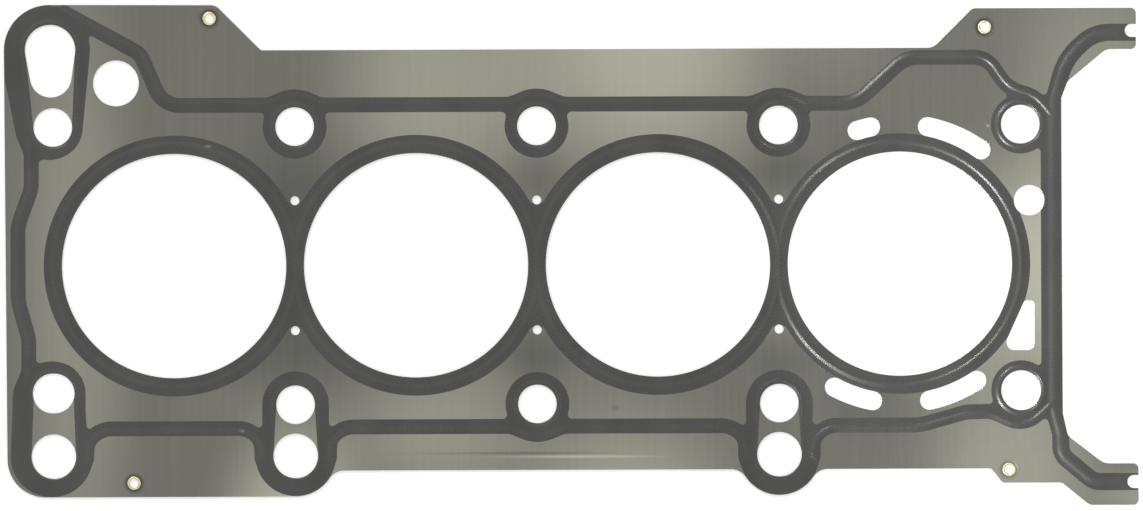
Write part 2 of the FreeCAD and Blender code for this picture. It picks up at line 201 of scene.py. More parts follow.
@dataclass(frozen=True)
class Path:
    """A line of runs and bends, each beginning where the last one ends."""

    pieces: tuple[Union[Run, Bend], ...]
    closed: bool = True

    def places(self, pitch: float) -> np.ndarray:
        """Give places along the path. A closed path doesn't repeat its first one.

        Args:
            pitch: The largest distance between two places.

        Returns:
            The places, one a row.
        """
        stretches = [piece.places(pitch) for piece in self.pieces]
        if not self.closed:
            stretches.append(np.array([self.pieces[-1].end]))
        return np.concatenate(stretches)

    def box(self) -> tuple[np.ndarray, np.ndarray]:
        """Give the lowest and the highest corner of the box round the path."""
        stops = self.places(BOX_PITCH)
        return stops.min(0), stops.max(0)

    def distance(self, points: np.ndarray) -> np.ndarray:
        """Give each point's distance from the path, up to the reach that the coat needs.

        Args:
            points: Points, one a row.

        Returns:
            One distance a point.
        """
        return np.abs(self.offset(points))

    def offset(self, points: np.ndarray) -> np.ndarray:
        """Give how far each point lies to the left of the path, up to the reach that the coat needs.

        Args:
            points: Points, one a row.

        Returns:
            One offset a point, negative to the right.
        """
        nearest = np.full(len(points), REACH)
        for piece in self.pieces:
            stops = np.vstack([piece.places(BOX_PITCH), piece.end])
            near = np.flatnonzero(within(points, stops.min(0) - REACH, stops.max(0) + REACH))
            distance = piece.distance(points[near])
            closer = distance < np.abs(nearest[near])
            near = near[closer]
            nearest[near] = np.where(piece.on_left(points[near]), distance[closer], -distance[closer])
        return nearest

    def signed(self, points: np.ndarray) -> np.ndarray:
        """Give each point's distance from the closed path, negative inside it.

        Args:
            points: Points, one a row.

        Returns:
            One signed distance a point.
        """
        stops = np.vstack(
            [
                piece.places(INSIDE_PITCH) if isinstance(piece, Bend) else piece.start
                for piece in self.pieces
            ]
        )
        box = np.flatnonzero(within(points, stops.min(0), stops.max(0)))
        x, y = points[box].T
        odd = np.zeros(len(box), bool)
        for (ax, ay), (bx, by) in zip(stops, np.roll(stops, -1, axis=0)):
            if ay == by:
                continue
            crossed = (ay > y) != (by > y)
            odd ^= crossed & (x < ax + (bx - ax) * (y - ay) / (by - ay))
        distance = self.distance(points)
        distance[box[odd]] *= -1
        return distance


@dataclass(frozen=True)
class Strip:
    """A band of even width over a path."""

    path: Path
    half_width: float

    def signed(self, points: np.ndarray) -> np.ndarray:
        """Give each point's distance from the band's edge, negative on the band."""
        return self.path.distance(points) - self.half_width


def within(points: np.ndarray, low: np.ndarray, high: np.ndarray) -> np.ndarray:
    """Tell which points lie in a box.

    Args:
        points: Points, one a row.
        low: The box's lowest corner.
        high: The box's highest corner.

    Returns:
        One truth value a point.
    """
    return ((points > low) & (points < high)).all(axis=1)


def shifted(place: Place, shift: Place) -> Place:
    """Move a place."""
    return (place[0] + shift[0], place[1] + shift[1])


def ring(centre: Place, radius: float) -> Path:
    """Make the path of a full circle, which turns left."""
    return Path((Bend(centre, radius, 0.0, 2 * math.pi),))


def belt(centre_a: Place, radius_a: float, centre_b: Place, radius_b: float) -> Path:
    """Make the path of a taut belt about two circles.

    Args:
        centre_a: The first circle's centre.
        radius_a: The first circle's radius.
        centre_b: The second circle's centre.
        radius_b: The second circle's radius.

    Returns:
        The closed path, which turns left.
    """
    span = np.subtract(centre_b, centre_a)
    heading = math.atan2(span[1], span[0])
    lean = math.acos((radius_a - radius_b) / float(np.hypot(*span)))
    bend_a = Bend(centre_a, radius_a, heading + lean, 2 * math.pi - 2 * lean)
    bend_b = Bend(centre_b, radius_b, heading - lean, 2 * lean)
    return Path((bend_a, Run(bend_a.end, bend_b.start), bend_b, Run(bend_b.end, bend_a.start)))


def rounded(corners: Sequence[Corner], closed: bool) -> Path:
    """Turn corners into runs and tangent bends.

    Args:
        corners: Each corner's x, y and rounding radius. A radius of 0 leaves it sharp.
        closed: Whether the last corner joins the first.

    Returns:
        The path.
    """
    places = np.array(corners)[:, :2]
    count = len(corners)
    entries = [tuple(place) for place in places]
    leaves = list(entries)
    bends: dict[int, Bend] = {}
    for i, (_, _, radius) in enumerate(corners):
        if radius == 0:
            continue
        back, ahead = places[i - 1] - places[i], places[(i + 1) % count] - places[i]
        back, ahead = back / np.hypot(*back), ahead / np.hypot(*ahead)
        angle = math.acos(float(back @ ahead))
        reach = radius / math.tan(angle / 2)
        entries[i], leaves[i] = tuple(places[i] + back * reach), tuple(places[i] + ahead * reach)
        middle = (back + ahead) / np.hypot(*(back + ahead))
        centre = places[i] + middle * radius / math.sin(angle / 2)
        way = 1 if back[0] * ahead[1] - back[1] * ahead[0] < 0 else -1
        spoke = entries[i] - centre
        bends[i] = Bend(tuple(centre), radius, math.atan2(spoke[1], spoke[0]), way * (math.pi - angle))
    pieces: list[Union[Run, Bend]] = []
    for i in range(count):
        if i in bends:
            pieces.append(bends[i])
        after = (i + 1) % count
        if (i + 1 < count or closed) and math.dist(entries[after], leaves[i]) > SHORTEST_RUN:
            pieces.append(Run(leaves[i], entries[after]))
    return Path(tuple(pieces), closed)


@dataclass(frozen=True)
class GasketPlan:
    """The gasket's sizes, and the places and paths worked out from them."""

    bore_pitch: float = 86.0
    land_width: float = 6.3
    bolt_gap: float = 9.6
    end_bolt_raise: float = 4.3
    bolt_hole: float = 6.85
    dowel_hole: float = 7.05
    dowel_play: float = 0.35
    drain_drop: float = 18.15
    drain_hole: float = 7.9
    oil_hole: float = 8.15
    oil_along: float = 22.5
    oil_rise: float = 15.6
    water_hole: float = 5.4
    water_along: float = 3.05
    water_drop: float = 27.05
    steam_hole: float = 1.6
    steam_drop: float = 26.35
    pear_top: float = 8.95
    pear_low: float = 7.45
    pear_top_rise: float = 27.5
    pear_low_rise: float = 18.1
    pear_shift: float = 0.7
    pear_lean: float = 0.02
    pear_lean_start: float = 18.0
    slot_gap: float = 6.45
    slot_half_width: float = 3.4
    slot_degrees: tuple[Range, ...] = ((54.3, 78.4), (101.9, 107.6), (-118.1, -101.4), (-77.9, -56.8))
    line_gap: float = 7.95
    line_corner: float = 9.5
    top_line_drop: float = 0.3
    corner_line_drop: float = 0.4
    edge_line_along: float = 11.4
    bump_half_length: float = 9.3
    bump_rise: float = 3.9
    bump_foot_radius: float = 10.0
    bump_crown_radius: float = 12.0
    lobe_margin: float = 6.6
    lobe_slope: float = 35.0
    lobe_corner: float = 6.0
    horn_reach: float = 41.4
    notch_radius: float = 2.3
    notch_depth: float = 3.9
    notch_roundness: float = 0.98
    eyelet_hole: float = 1.95

    @property
    def bore(self) -> float:
        """Give the bores' radius."""
        return (self.bore_pitch - self.land_width) / 2

    @property
    def bolt_row(self) -> float:
        """Give the bolt rows' distance from the bore row."""
        return self.bore + self.bolt_gap

    @property
    def drain_row(self) -> float:
        """Give the drain row's distance from the bore row."""
        return self.bolt_row + self.drain_drop

    @property
    def line_row(self) -> float:
        """Give the edge lines' distance from the bore row."""
        return self.bolt_row + self.line_gap

    @property
    def steam_row(self) -> float:
        """Give the steam holes' distance from the bore row."""
        return self.bolt_row - self.steam_drop

    def column(self, number: float) -> float:
        """Give the x of a bolt column, or of a bore between two columns."""
        return number * self.bore_pitch

    def bolt(self, number: int, side: int) -> Place:
        """Give a bolt hole's centre. The end bolts of the lower row stand higher."""
        raised = self.end_bolt_raise if side < 0 and abs(number) == 2 else 0.0
        return (self.column(number), side * (self.bolt_row - raised))

    def drain(self, number: int) -> Place:
        """Give a drain hole's centre."""
        return (self.column(number), -self.drain_row)

    def pear(self, rise: float) -> Place:
        """Give a centre on the pear hole's line, which leans a little outwards."""
        x = self.column(-2) - self.pear_shift - self.pear_lean * (rise - self.pear_lean_start)
        return (x, self.bolt_row + rise)

    def bolt_radius(self, number: int, side: int) -> float:
        """Give a bolt hole's radius. The end ones of the lower row take dowels."""
        return self.dowel_hole if side < 0 and abs(number) == 2 else self.bolt_hole

    def bore_centres(self) -> list[Place]:
        """Give the four bores' centres."""
        return [(self.column(number), 0.0) for number in (-1.5, -0.5, 0.5, 1.5)]

    def steam_centres(self) -> list[Place]:
        """Give the centres of the steam holes between the bores."""
        return [(self.column(number), side * self.steam_row) for number in (-1, 0, 1) for side in (1, -1)]

    def eyelets(self) -> list[Place]:
        """Give the eyelets' centres.

        Returns:
            The centres, clockwise from the upper left one.
        """
        row = self.bolt_row
        return [
            (self.column(-1) - 30.25, row + 38.55),
            (self.column(2) - 12.6, row + 34.55),
            (self.column(2) - 4.4, -row - 23.85),
            (self.column(-2) + 28.5, -row - 27.7),
        ]

    def notch(self, tip: float, middle: float) -> list[Corner]:
        """Give the corners of the half-round notch in a horn's tip.

        Args:
            tip: The x of the tip.
            middle: The y of the notch's middle.

        Returns:
            The corners, from the notch's upper lip to its lower one.
        """
        root, bend = tip - self.notch_depth, self.notch_radius * self.notch_roundness
        upper, lower = middle + self.notch_radius, middle - self.notch_radius
        return [(tip, upper, 0.0), (root, upper, bend), (root, lower, bend), (tip, lower, 0.0)]

    def lobe(self, number: int, base: float, left_side: bool) -> list[Corner]:
        """Give the corners of the lobe under a drain hole, from right to left.

        Args:
            number: The bolt column that the drain is in line with.
            base: The y of the bottom edge beside the lobe.
            left_side: Whether the lobe comes back up to the base.

        Returns:
            The corners.
        """
        x, y = self.drain(number)
        radius = self.drain_hole + self.lobe_margin
        slope = math.radians(self.lobe_slope)
        foot = (radius + math.sin(slope) * (base - y)) / math.cos(slope)
        corner = radius * math.tan((math.pi / 2 - slope) / 2)
        right = [(x + foot, base, self.lobe_corner), (x + corner, y - radius, radius)]
        left = [(x - corner, y - radius, radius), (x - foot, base, self.lobe_corner)]
        return right + (left if left_side else [])

    def outline(self) -> Path:
        """Give the plate's outline.

        Returns:
            The closed path, clockwise from the corner by the pear hole.
        """
        west, inner_west, east = self.column(-2), self.column(-1), self.column(2)
        top, low = self.bolt_row, -self.bolt_row
        tip = east + self.horn_reach
        base = low - 23.45
        floor = self.drain(-1)[1] - self.drain_hole - self.lobe_margin
        corners = [
            (west - 17.4, top + 43.65, 16.2),
            (inner_west - 28.0, top + 43.25, 4.0),
            (inner_west - 11.9, top + 27.15, 1.5),
            (east - 30.9, top + 27.25, 5.0),
            (east - 16.9, top + 41.25, 2.5),
            (tip - 0.2, top + 41.25, 1.8),
            *self.notch(tip - 0.2, top + 33.2),
            (tip - 0.2, top + 26.6, 1.8),
            (east + 30.6, top + 26.6, 5.0),
            (east + 16.9, top + 15.25, 4.0),
            (east + 14.6, top + 9.3, 3.0),
            (east + 14.8, low - 4.0, 4.0),
            (east + 16.6, low - 12.0, 4.0),
            (east + 29.4, low - 21.85, 6.0),
            (tip + 0.2, low - 21.85, 1.8),
            *self.notch(tip + 0.2, low - 28.3),
            (tip + 0.2, low - 36.55, 1.8),
            (east + 24.2, low - 36.55, 4.0),
            (east + 14.4, low - 28.55, 2.5),
            (east - 6.8, low - 28.55, 1.8),
            (east - 10.7, base, 1.8),
            *self.lobe(1, base, True),
            *self.lobe(-1, base, False),
            (west - 16.4, floor, 13.5),
        ]
        return rounded(corners, True)

    def arc_slot(self, first_degrees: float, last_degrees: float) -> Path:
        """Give the outline of a coolant slot round the last bore.

        Args:
            first_degrees: The angle of one round end's centre about the bore.
            last_degrees: The angle of the other end's centre.

        Returns:
            The closed path.
        """
        centre, half = self.bore_centres()[-1], self.slot_half_width
        middle = self.bore + self.slot_gap + half
        first, last = math.radians(first_degrees), math.radians(last_degrees)
        line = Bend(centre, middle, first, last - first)
        return Path(
            (
                Bend(centre, middle + half, first, last - first),
                Bend(line.end, half, last, math.pi),
                Bend(centre, middle - half, last, first - last),
                Bend(line.start, half, first + math.pi, math.pi),
            )
        )

    def corner_window(self) -> Path:
        """Give the outline of the four-sided window between the last bore and the right edge line.

        Returns:
            The closed path.
        """
        right, low = self.column(2) + 4.9, -self.bolt_row
        upper = [(right - 3.6, low + 36.25, 1.2), (right, low + 36.25, 1.6)]
        return rounded([*upper, (right, low + 18.55, 2.6), (right - 11.6, low + 18.55, 2.8)], True)

    def holes(self) -> list[Path]:
        """Give the outline of every hole through the plate, apart from the eyelets' own.

        Returns:
            The closed paths.
        """
        holes = [ring(centre, self.bore) for centre in self.bore_centres()]
        holes += [ring(centre, self.steam_hole) for centre in self.steam_centres()]
        holes += [ring(self.bolt(number, 1), self.bolt_hole) for number in range(-2, 3)]
        holes += [ring(self.bolt(number, -1), self.bolt_hole) for number in (-1, 0, 1)]
        holes += [ring(self.drain(number), self.drain_hole) for number in (-2, -1, 1)]
        holes.append(ring(self.bolt(2, -1), self.dowel_hole))
        x, y = self.bolt(-2, -1)
        play = self.dowel_play
        holes.append(belt((x - play, y), self.dowel_hole, (x + play, y), self.dowel_hole))
        oil = (self.column(-2) + self.oil_along, self.bolt_row + self.oil_rise)
        water = (self.column(2) + self.water_along, self.bolt_row - self.water_drop)
        holes += [ring(oil, self.oil_hole), ring(water, self.water_hole)]
        low, top = self.pear(self.pear_low_rise), self.pear(self.pear_top_rise)
        holes.append(belt(low, self.pear_low, top, self.pear_top))
        holes += [self.arc_slot(first, last) for first, last in self.slot_degrees]
        holes.append(self.corner_window())
        return holes

    def bump(self, number: int, row: float, way: int) -> list[Corner]:
        """Give the corners where an edge line steps outwards round a bolt hole.

        Args:
            number: The bolt column.
            row: The y of the line beside the step.
            way: 1 for a step upwards and -1 for one downwards.

        Returns:
            The corners, from left to right.
        """
        x, half = self.column(number), self.bump_half_length
        foot, crown = self.bump_foot_radius, self.bump_crown_radius
        return [(x - half, row, foot), (x, row + self.bump_rise * way, crown), (x + half, row, foot)]

    def top_line(self) -> Path:
        """Give the line of the top edge.

        Returns:
            The open path, from the pear hole's loop to the line down the right edge.
        """
        west, inner_east, east = self.column(-2), self.column(1), self.column(2)
        row = self.line_row - self.top_line_drop
        corners = [(west - 4.0, row + 37.6, 0.0), (west + 31.3, row + 18.3, 7.0), (west + 39.0, row, 9.5)]
        for number in (-1, 0, 1):
            corners += self.bump(number, row, 1)
        corners += [
            (inner_east + 27.5, row, 13.0),
            (inner_east + 45.3, row + 16.2, 11.0),
            (east - 12.0, row + 16.2, 8.5),
            (east - 4.4, row + 5.1, 13.0),
            (east + 5.1, row + 2.2, 12.0),
            (east + self.edge_line_along, row - 5.4, 0.0),
        ]
        return rounded(corners, False)

    def low_line(self, first: int, last: int, reach: float, middle: list[Corner]) -> Path:
        """Give a line of the bottom edge between the loops of two drains.

        Args:
            first: The column of the left drain.
            last: The column of the right drain.
            reach: The distance from a drain's centre to its loop's ridge.
            middle: The corners between the two ends, if any.

        Returns:
            The open path.
        """
        row = -self.line_row - (self.corner_line_drop if first == -2 else 0.0)
        start, end = self.column(first) + reach, self.column(last) - reach
        left = [(start, -self.drain_row, 0.0), (start, row, self.line_corner)]
        right = [(end, row, self.line_corner), (end, -self.drain_row, 0.0)]
        return rounded([*left, *middle, *right], False)

    def low_right_line(self, reach: float) -> Path:
        """Give the line of the bottom edge to the right of the last drain.

        Args:
            reach: The distance from a drain's centre to its loop's ridge.

        Returns:
            The open path, from the drain's loop to the line down the right edge.
        """
        row, east, start = -self.line_row, self.column(2), self.column(1) + reach
        corners = [
            (start, -self.drain_row, 0.0),
            (start, row, self.line_corner),
            (east - 36.0, row, 20.0),
            (east - 19.5, row + 4.6, 12.0),
            (east - 10.5, row + 4.8, 10.0),
            (east + 1.2, row - 0.6, 9.0),
            (east + self.edge_line_along, row + 8.9, 0.0),
        ]
        return rounded(corners, False)

    def left_line(self) -> Path:
        """Give the line down the left edge, between the loops of the two corner bolts.

        Returns:
            The open path.
        """
        west, top, low = self.column(-2), self.bolt_row, self.bolt(-2, -1)[1]
        corners = [
            (west - 7.7, top - 5.4, 0.0),
            (west - 7.7, top - 21.9, 14.0),
            (west - 12.5, top - 34.9, 16.0),
            (west - 12.5, low + 32.6, 16.0),
            (west - 8.8, low + 19.6, 14.0),
            (west - 8.8, low + 3.6, 0.0),
        ]
        return rounded(corners, False)

    def right_line(self, tip_gap: float) -> Path:
        """Give the line down the right edge, which runs out along both horns.

        Args:
            tip_gap: How far from the horns' tips the line stops.

        Returns:
            The open path, from the upper horn to the lower one.
        """
        east, row, low = self.column(2), self.line_row, -self.line_row
        tip, edge = east + self.horn_reach - tip_gap, east + self.edge_line_along
        corners = [
            (tip, row + 24.6, 0.0),
            (east + 26.2, row + 24.6, 14.0),
            (east + 16.0, row + 15.1, 22.0),
            (edge, row - 1.4, 25.0),
            (edge, low + 6.4, 10.0),
            (edge + 2.6, low - 3.6, 10.0),
            (edge + 2.7, low - 10.6, 6.0),
            (east + 25.7, low - 20.35, 6.0),
            (tip, low - 20.35, 0.0),
        ]
        return rounded(corners, False)


def round_join(first: np.ndarray, second: np.ndarray, fillet: float) -> np.ndarray:
    """Join two signed distances with a round inner corner.

    Args:
        first: Signed distances from one shape.
        second: Signed distances from the other.
        fillet: The corner's radius.

    Returns:
        The signed distances from both shapes together.
    """
    corner = np.hypot(np.maximum(fillet - first, 0), np.maximum(fillet - second, 0))
    return np.maximum(fillet, np.minimum(first, second)) - corner


def smooth_step(share: np.ndarray) -> np.ndarray:
    """Ease shares from 0 to 1, level at both ends."""
    held = np.clip(share, 0, 1)
    return held * held * (3 - 2 * held)


def slope(height: Measure, points: np.ndarray, step: float = 0.01) -> np.ndarray:
    """Measure how fast a height changes along x and y.

    Args:
        height: Gives a value for each point.
        points: Points, one a row.
        step: The distance over which the change is taken.

    Returns:
        The two slopes of each point, one point a row.
    """
    columns = []
    for move in ((step, 0.0), (0.0, step)):
        columns.append((height(points + move) - height(points - move)) / (2 * step))
    return np.column_stack(columns)


class CellSide(Enum):
    """The sides of a cell of the tracing grid."""

    BOTTOM = 0
    RIGHT = 1
    TOP = 2
    LEFT = 3


# The sides by which the traced edge enters and leaves a cell, by the sum of its corners on the shape, where
# the lower left corner counts 1, the lower right one 2, the upper right one 4 and the upper left one 8.
CROSSINGS: dict[int, tuple[tuple[CellSide, CellSide], ...]] = {
    1: ((CellSide.BOTTOM, CellSide.LEFT),),
    2: ((CellSide.RIGHT, CellSide.BOTTOM),),
    3: ((CellSide.RIGHT, CellSide.LEFT),),
    4: ((CellSide.TOP, CellSide.RIGHT),),
    5: ((CellSide.BOTTOM, CellSide.LEFT), (CellSide.TOP, CellSide.RIGHT)),
    6: ((CellSide.TOP, CellSide.BOTTOM),),
    7: ((CellSide.TOP, CellSide.LEFT),),
    8: ((CellSide.LEFT, CellSide.TOP),),
    9: ((CellSide.BOTTOM, CellSide.TOP),),
    10: ((CellSide.RIGHT, CellSide.BOTTOM), (CellSide.LEFT, CellSide.TOP)),
    11: ((CellSide.RIGHT, CellSide.TOP),),
    12: ((CellSide.LEFT, CellSide.RIGHT),),
    13: ((CellSide.BOTTOM, CellSide.RIGHT),),
    14: ((CellSide.LEFT, CellSide.BOTTOM),),
}


@dataclass(frozen=True)
class EdgeTracer:
    """Finds the edge of a shape that is given as signed distances, as closed loops of even steps."""

    low: Place
    high: Place
    grid: float = 0.5
    step: float = 0.42
    settle_rounds: int = 3
    least_points: int = 12
    least_steepness: float = 0.25

    def loops(self, shape: Measure) -> list[np.ndarray]:
        """Trace the shape's edge.

        Args:
            shape: Gives each point's signed distance, negative on the shape.

        Returns:
            The loops, each with the shape on its left.
        """
        xs = np.arange(self.low[0], self.high[0], self.grid)
        ys = np.arange(self.low[1], self.high[1], self.grid)
        places = np.stack(np.meshgrid(xs, ys), axis=-1)
        values = shape(places.reshape(-1, 2)).reshape(len(ys), len(xs))
        after = self.links(values < 0)
        loops = []
        while after:
            first, here = after.popitem()
            chain = [first]
            while here != first:
                chain.append(here)
                here = after.pop(here)
            loops.append(self.spread(self.crossings(np.array(chain), places, values)))
        for _ in range(self.settle_rounds):
            loops = self.settle(shape, loops)
        return loops

    def links(self, inside: np.ndarray) -> dict[int, int]:
        """Say which crossing of the grid follows which.

        Args:
            inside: Whether each grid point is on the shape, one row of the grid a row.

        Returns:
            For each crossing's number, the number of the one after it.
        """
        rows, columns = inside.shape
        low_left, low_right = inside[:-1, :-1], inside[:-1, 1:]
        case = low_left + 2 * low_right + 4 * inside[1:, 1:] + 8 * inside[1:, :-1]
        number = np.arange(rows * columns).reshape(rows, columns)[:-1, :-1]
        upright = rows * columns
        sides = {
            CellSide.BOTTOM: number,
            CellSide.RIGHT: number + 1 + upright,
            CellSide.TOP: number + columns,
            CellSide.LEFT: number + upright,
        }
        after: dict[int, int] = {}
        for code, pairs in CROSSINGS.items():
            cells = case == code
            for start, end in pairs:
                after.update(zip(sides[start][cells].tolist(), sides[end][cells].tolist()))
        return after

    def crossings(self, chain: np.ndarray, places: np.ndarray, values: np.ndarray) -> np.ndarray:
        """Give the places where a chain of crossings cuts the grid's lines.

        Args:
            chain: The crossings' numbers.
            places: The grid's points.
            values: The signed distances there.

        Returns:
            The places, one a row.
        """
        rows, columns = values.shape
        upright = chain >= rows * columns
        row, column = np.divmod(chain % (rows * columns), columns)
        row_b, column_b = row + upright, column + ~upright
        a, b = values[row, column], values[row_b, column_b]
        share = (a / (a - b))[:, None]
        return places[row, column] * (1 - share) + places[row_b, column_b] * share

    def spread(self, loop: np.ndarray) -> np.ndarray:
        """Set a loop's points at even steps.

        Args:
            loop: The points of a closed loop.

        Returns:
            The new points.
        """
        around = np.vstack([loop, loop[:1]])
        run = np.concatenate([[0.0], np.cumsum(np.linalg.norm(np.diff(around, axis=0), axis=1))])
        count = max(self.least_points, round(run[-1] / self.step))
        stops = np.arange(count) * run[-1] / count
        return np.column_stack([np.interp(stops, run, around[:, axis]) for axis in (0, 1)])

    def settle(self, shape: Measure, loops: list[np.ndarray]) -> list[np.ndarray]:
        """Move the loops' points onto the edge and set them at even steps again.

        Args:
            shape: Gives each point's signed distance, negative on the shape.
            loops: The loops.

        Returns:
            The moved loops.
        """
        points = np.vstack(loops)
        lean = slope(shape, points)
        steep = np.maximum((lean * lean).sum(axis=1), self.least_steepness)
        points = points - np.clip(shape(points) / steep, -self.grid, self.grid)[:, None] * lean
        ends = np.cumsum([len(loop) for loop in loops])[:-1]
        return [self.spread(loop) for loop in np.split(points, ends)]


def neighbours(triangles: np.ndarray) -> np.ndarray:
    """Find the triangle across each side of each triangle.

    Args:
        triangles: The numbers of each triangle's points, one triangle a row.

    Returns:
        The numbers of each triangle's three neighbours, -1 where there is none.
    """
    ahead, count = np.roll(triangles, -1, axis=1), triangles.max() + 1
    sides, twins = (triangles * count + ahead).ravel(), ahead * count + triangles
    order = np.argsort(sides)
    place = order[np.minimum(np.searchsorted(sides, twins, sorter=order), sides.size - 1)]
    return np.where(sides[place] == twins, place // 3, -1)


def handed_on(known: np.ndarray, across: np.ndarray) -> np.ndarray:
    """Hand on from triangle to triangle which of them are on the sheet.

    Args:
        known: 1 for each triangle on the sheet, -1 for each one off it and 0 where that isn't known.
        across: Each triangle's neighbours.

    Returns:
        The same list, with each triangle that wasn't known as most of its neighbours are.
    """
    while True:
        handed = np.where(across >= 0, known[across], 0).sum(axis=1)
        fresh = np.where(known == 0, np.sign(handed), known)
        if (fresh == known).all():
            return known
        known = fresh


@dataclass
class Skin:
    """A flat net of triangles over a sheet: its edge loops come first, then the points inside."""

    points: np.ndarray
    triangles: np.ndarray
    loops: list[np.ndarray]

    @classmethod
    def over(cls, edges: Sequence[np.ndarray], inner: np.ndarray) -> "Skin":
        """Make the net.

        A triangle with a point inside the sheet is on it, one beside an edge loop is on it or off it by its
        side of the loop, and any other goes with its neighbours.

        Args:
            edges: The edge loops, each with the sheet on its left.
            inner: Points inside the sheet.

        Returns:
            The net, without triangles over holes.
        """
        points = np.vstack([*edges, inner])
        loops, held, start = [], [], 0
        for edge in edges:
            loop = np.arange(start, start + len(edge))
            loops.append(loop)
            held.append(np.column_stack([loop, np.roll(loop, -1)]))
            start += len(edge)
        ahead = np.concatenate(held)
        found = delaunay_2d_cdt([Vector(p) for p in points], ahead.tolist(), [], 0, NEAREST_POINTS)
        source = np.array([origin[0] if origin else -1 for origin in found[3]])
        triangles = source[np.array(found[2])]
        if (source < 0).any():
            raise ValueError("two edge loops of a sheet cross")
        keys = ahead[:, 0] * len(points) + ahead[:, 1]
        back = ahead[:, 1] * len(points) + ahead[:, 0]
        sides = triangles * len(points) + np.roll(triangles, -1, axis=1)
        on, off = np.isin(sides, keys).any(axis=1), np.isin(sides, back).any(axis=1)
        known = np.where(on | (triangles >= start).any(axis=1), 1, 0)
        known[off] = -1
        return cls(points, triangles[handed_on(known, neighbours(triangles)) > 0], loops)


@dataclass
class MeshDraft:
    """Collects a piece's points and faces in millimetres and turns them into an object."""

    points: list[np.ndarray]
    faces: list[list[int]]
    count: int = 0

    @classmethod
    def empty(cls) -> "MeshDraft":
        """Start a draft with nothing in it."""
        return cls([], [])

    def add_points(self, flat: np.ndarray, heights: Union[float, np.ndarray]) -> np.ndarray:
        """Add points.

        Args:
            flat: Their x and y, one point a row.
            heights: Their z, one for all or one each.

        Returns:
            The points' numbers.
        """
        z = np.broadcast_to(heights, len(flat))
        self.points.append(np.column_stack([flat, z]))
        numbers = np.arange(self.count, self.count + len(flat))
        self.count += len(flat)
        return numbers

    def add_faces(self, faces: np.ndarray, turned: bool = False) -> None:
        """Add faces, turned over if so asked."""
        self.faces += (faces[:, ::-1] if turned else faces).tolist()

    def join(self, upper: np.ndarray, lower: np.ndarray) -> None:
        """Close the strip between two rings of as many points, the piece lying on their left."""
        below, above = np.roll(lower, -1), np.roll(upper, -1)
        self.add_faces(np.column_stack([lower, below, above, upper]))

    def piece(
        self, name: str, material: bpy.types.Material, sharp_degrees: float = 40.0
    ) -> bpy.types.Object:
        """Turn the draft into an object that rides on the gasket.

        Args:
            name: The piece's name.
            material: Its finish.
            sharp_degrees: The angle from which an edge between two faces stays sharp.

        Returns:
            The object.
        """
        mesh = bpy.data.meshes.new(name)
        mesh.from_pydata((np.vstack(self.points) * MM).tolist(), [], self.faces)
        mesh.update()
        mesh.shade_smooth()
        mesh.set_sharp_from_angle(angle=math.radians(sharp_degrees))
        mesh.materials.append(material)
        made = bpy.data.objects.new(name, mesh)
        bpy.context.scene.collection.objects.link(made)
        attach(made, BODY)
        return made


def to_left(along: np.ndarray) -> np.ndarray:
    """Turn directions a quarter to the left and give them a length of 1."""
    along = along / np.linalg.norm(along, axis=1)[:, None]
    return np.column_stack([-along[:, 1], along[:, 0]])


def inset(loop: np.ndarray, depth: float) -> np.ndarray:
    """Move a loop's points to its left.

    Args:
        loop: The points of a closed loop.
        depth: How far each point moves.

    Returns:
        The moved points.
    """
    return loop + depth * to_left(np.roll(loop, -1, axis=0) - np.roll(loop, 1, axis=0))


def beside(path: Path, offsets: Sequence[float], pitch: float) -> np.ndarray:
    """Set rows of points along a path.

    Args:
        path: The path.
        offsets: Each row's distance from the path, positive to its left.
        pitch: The distance between a row's points.

    Returns:
        The points, one a row, the first offset's first.
    """
    stops = path.places(pitch)
    if path.closed:
        along = np.roll(stops, -1, axis=0) - np.roll(stops, 1, axis=0)
    else:
        along = np.gradient(stops, axis=0)
    left = to_left(along)
    return np.vstack([stops + offset * left for offset in offsets])


def spaced(points: np.ndarray, gap: float) -> np.ndarray:
    """Keep one point in each cell of a grid, the first that comes."""
    cells = np.round(points / gap).astype(int)
    return points[np.sort(np.unique(cells, axis=0, return_index=True)[1])]


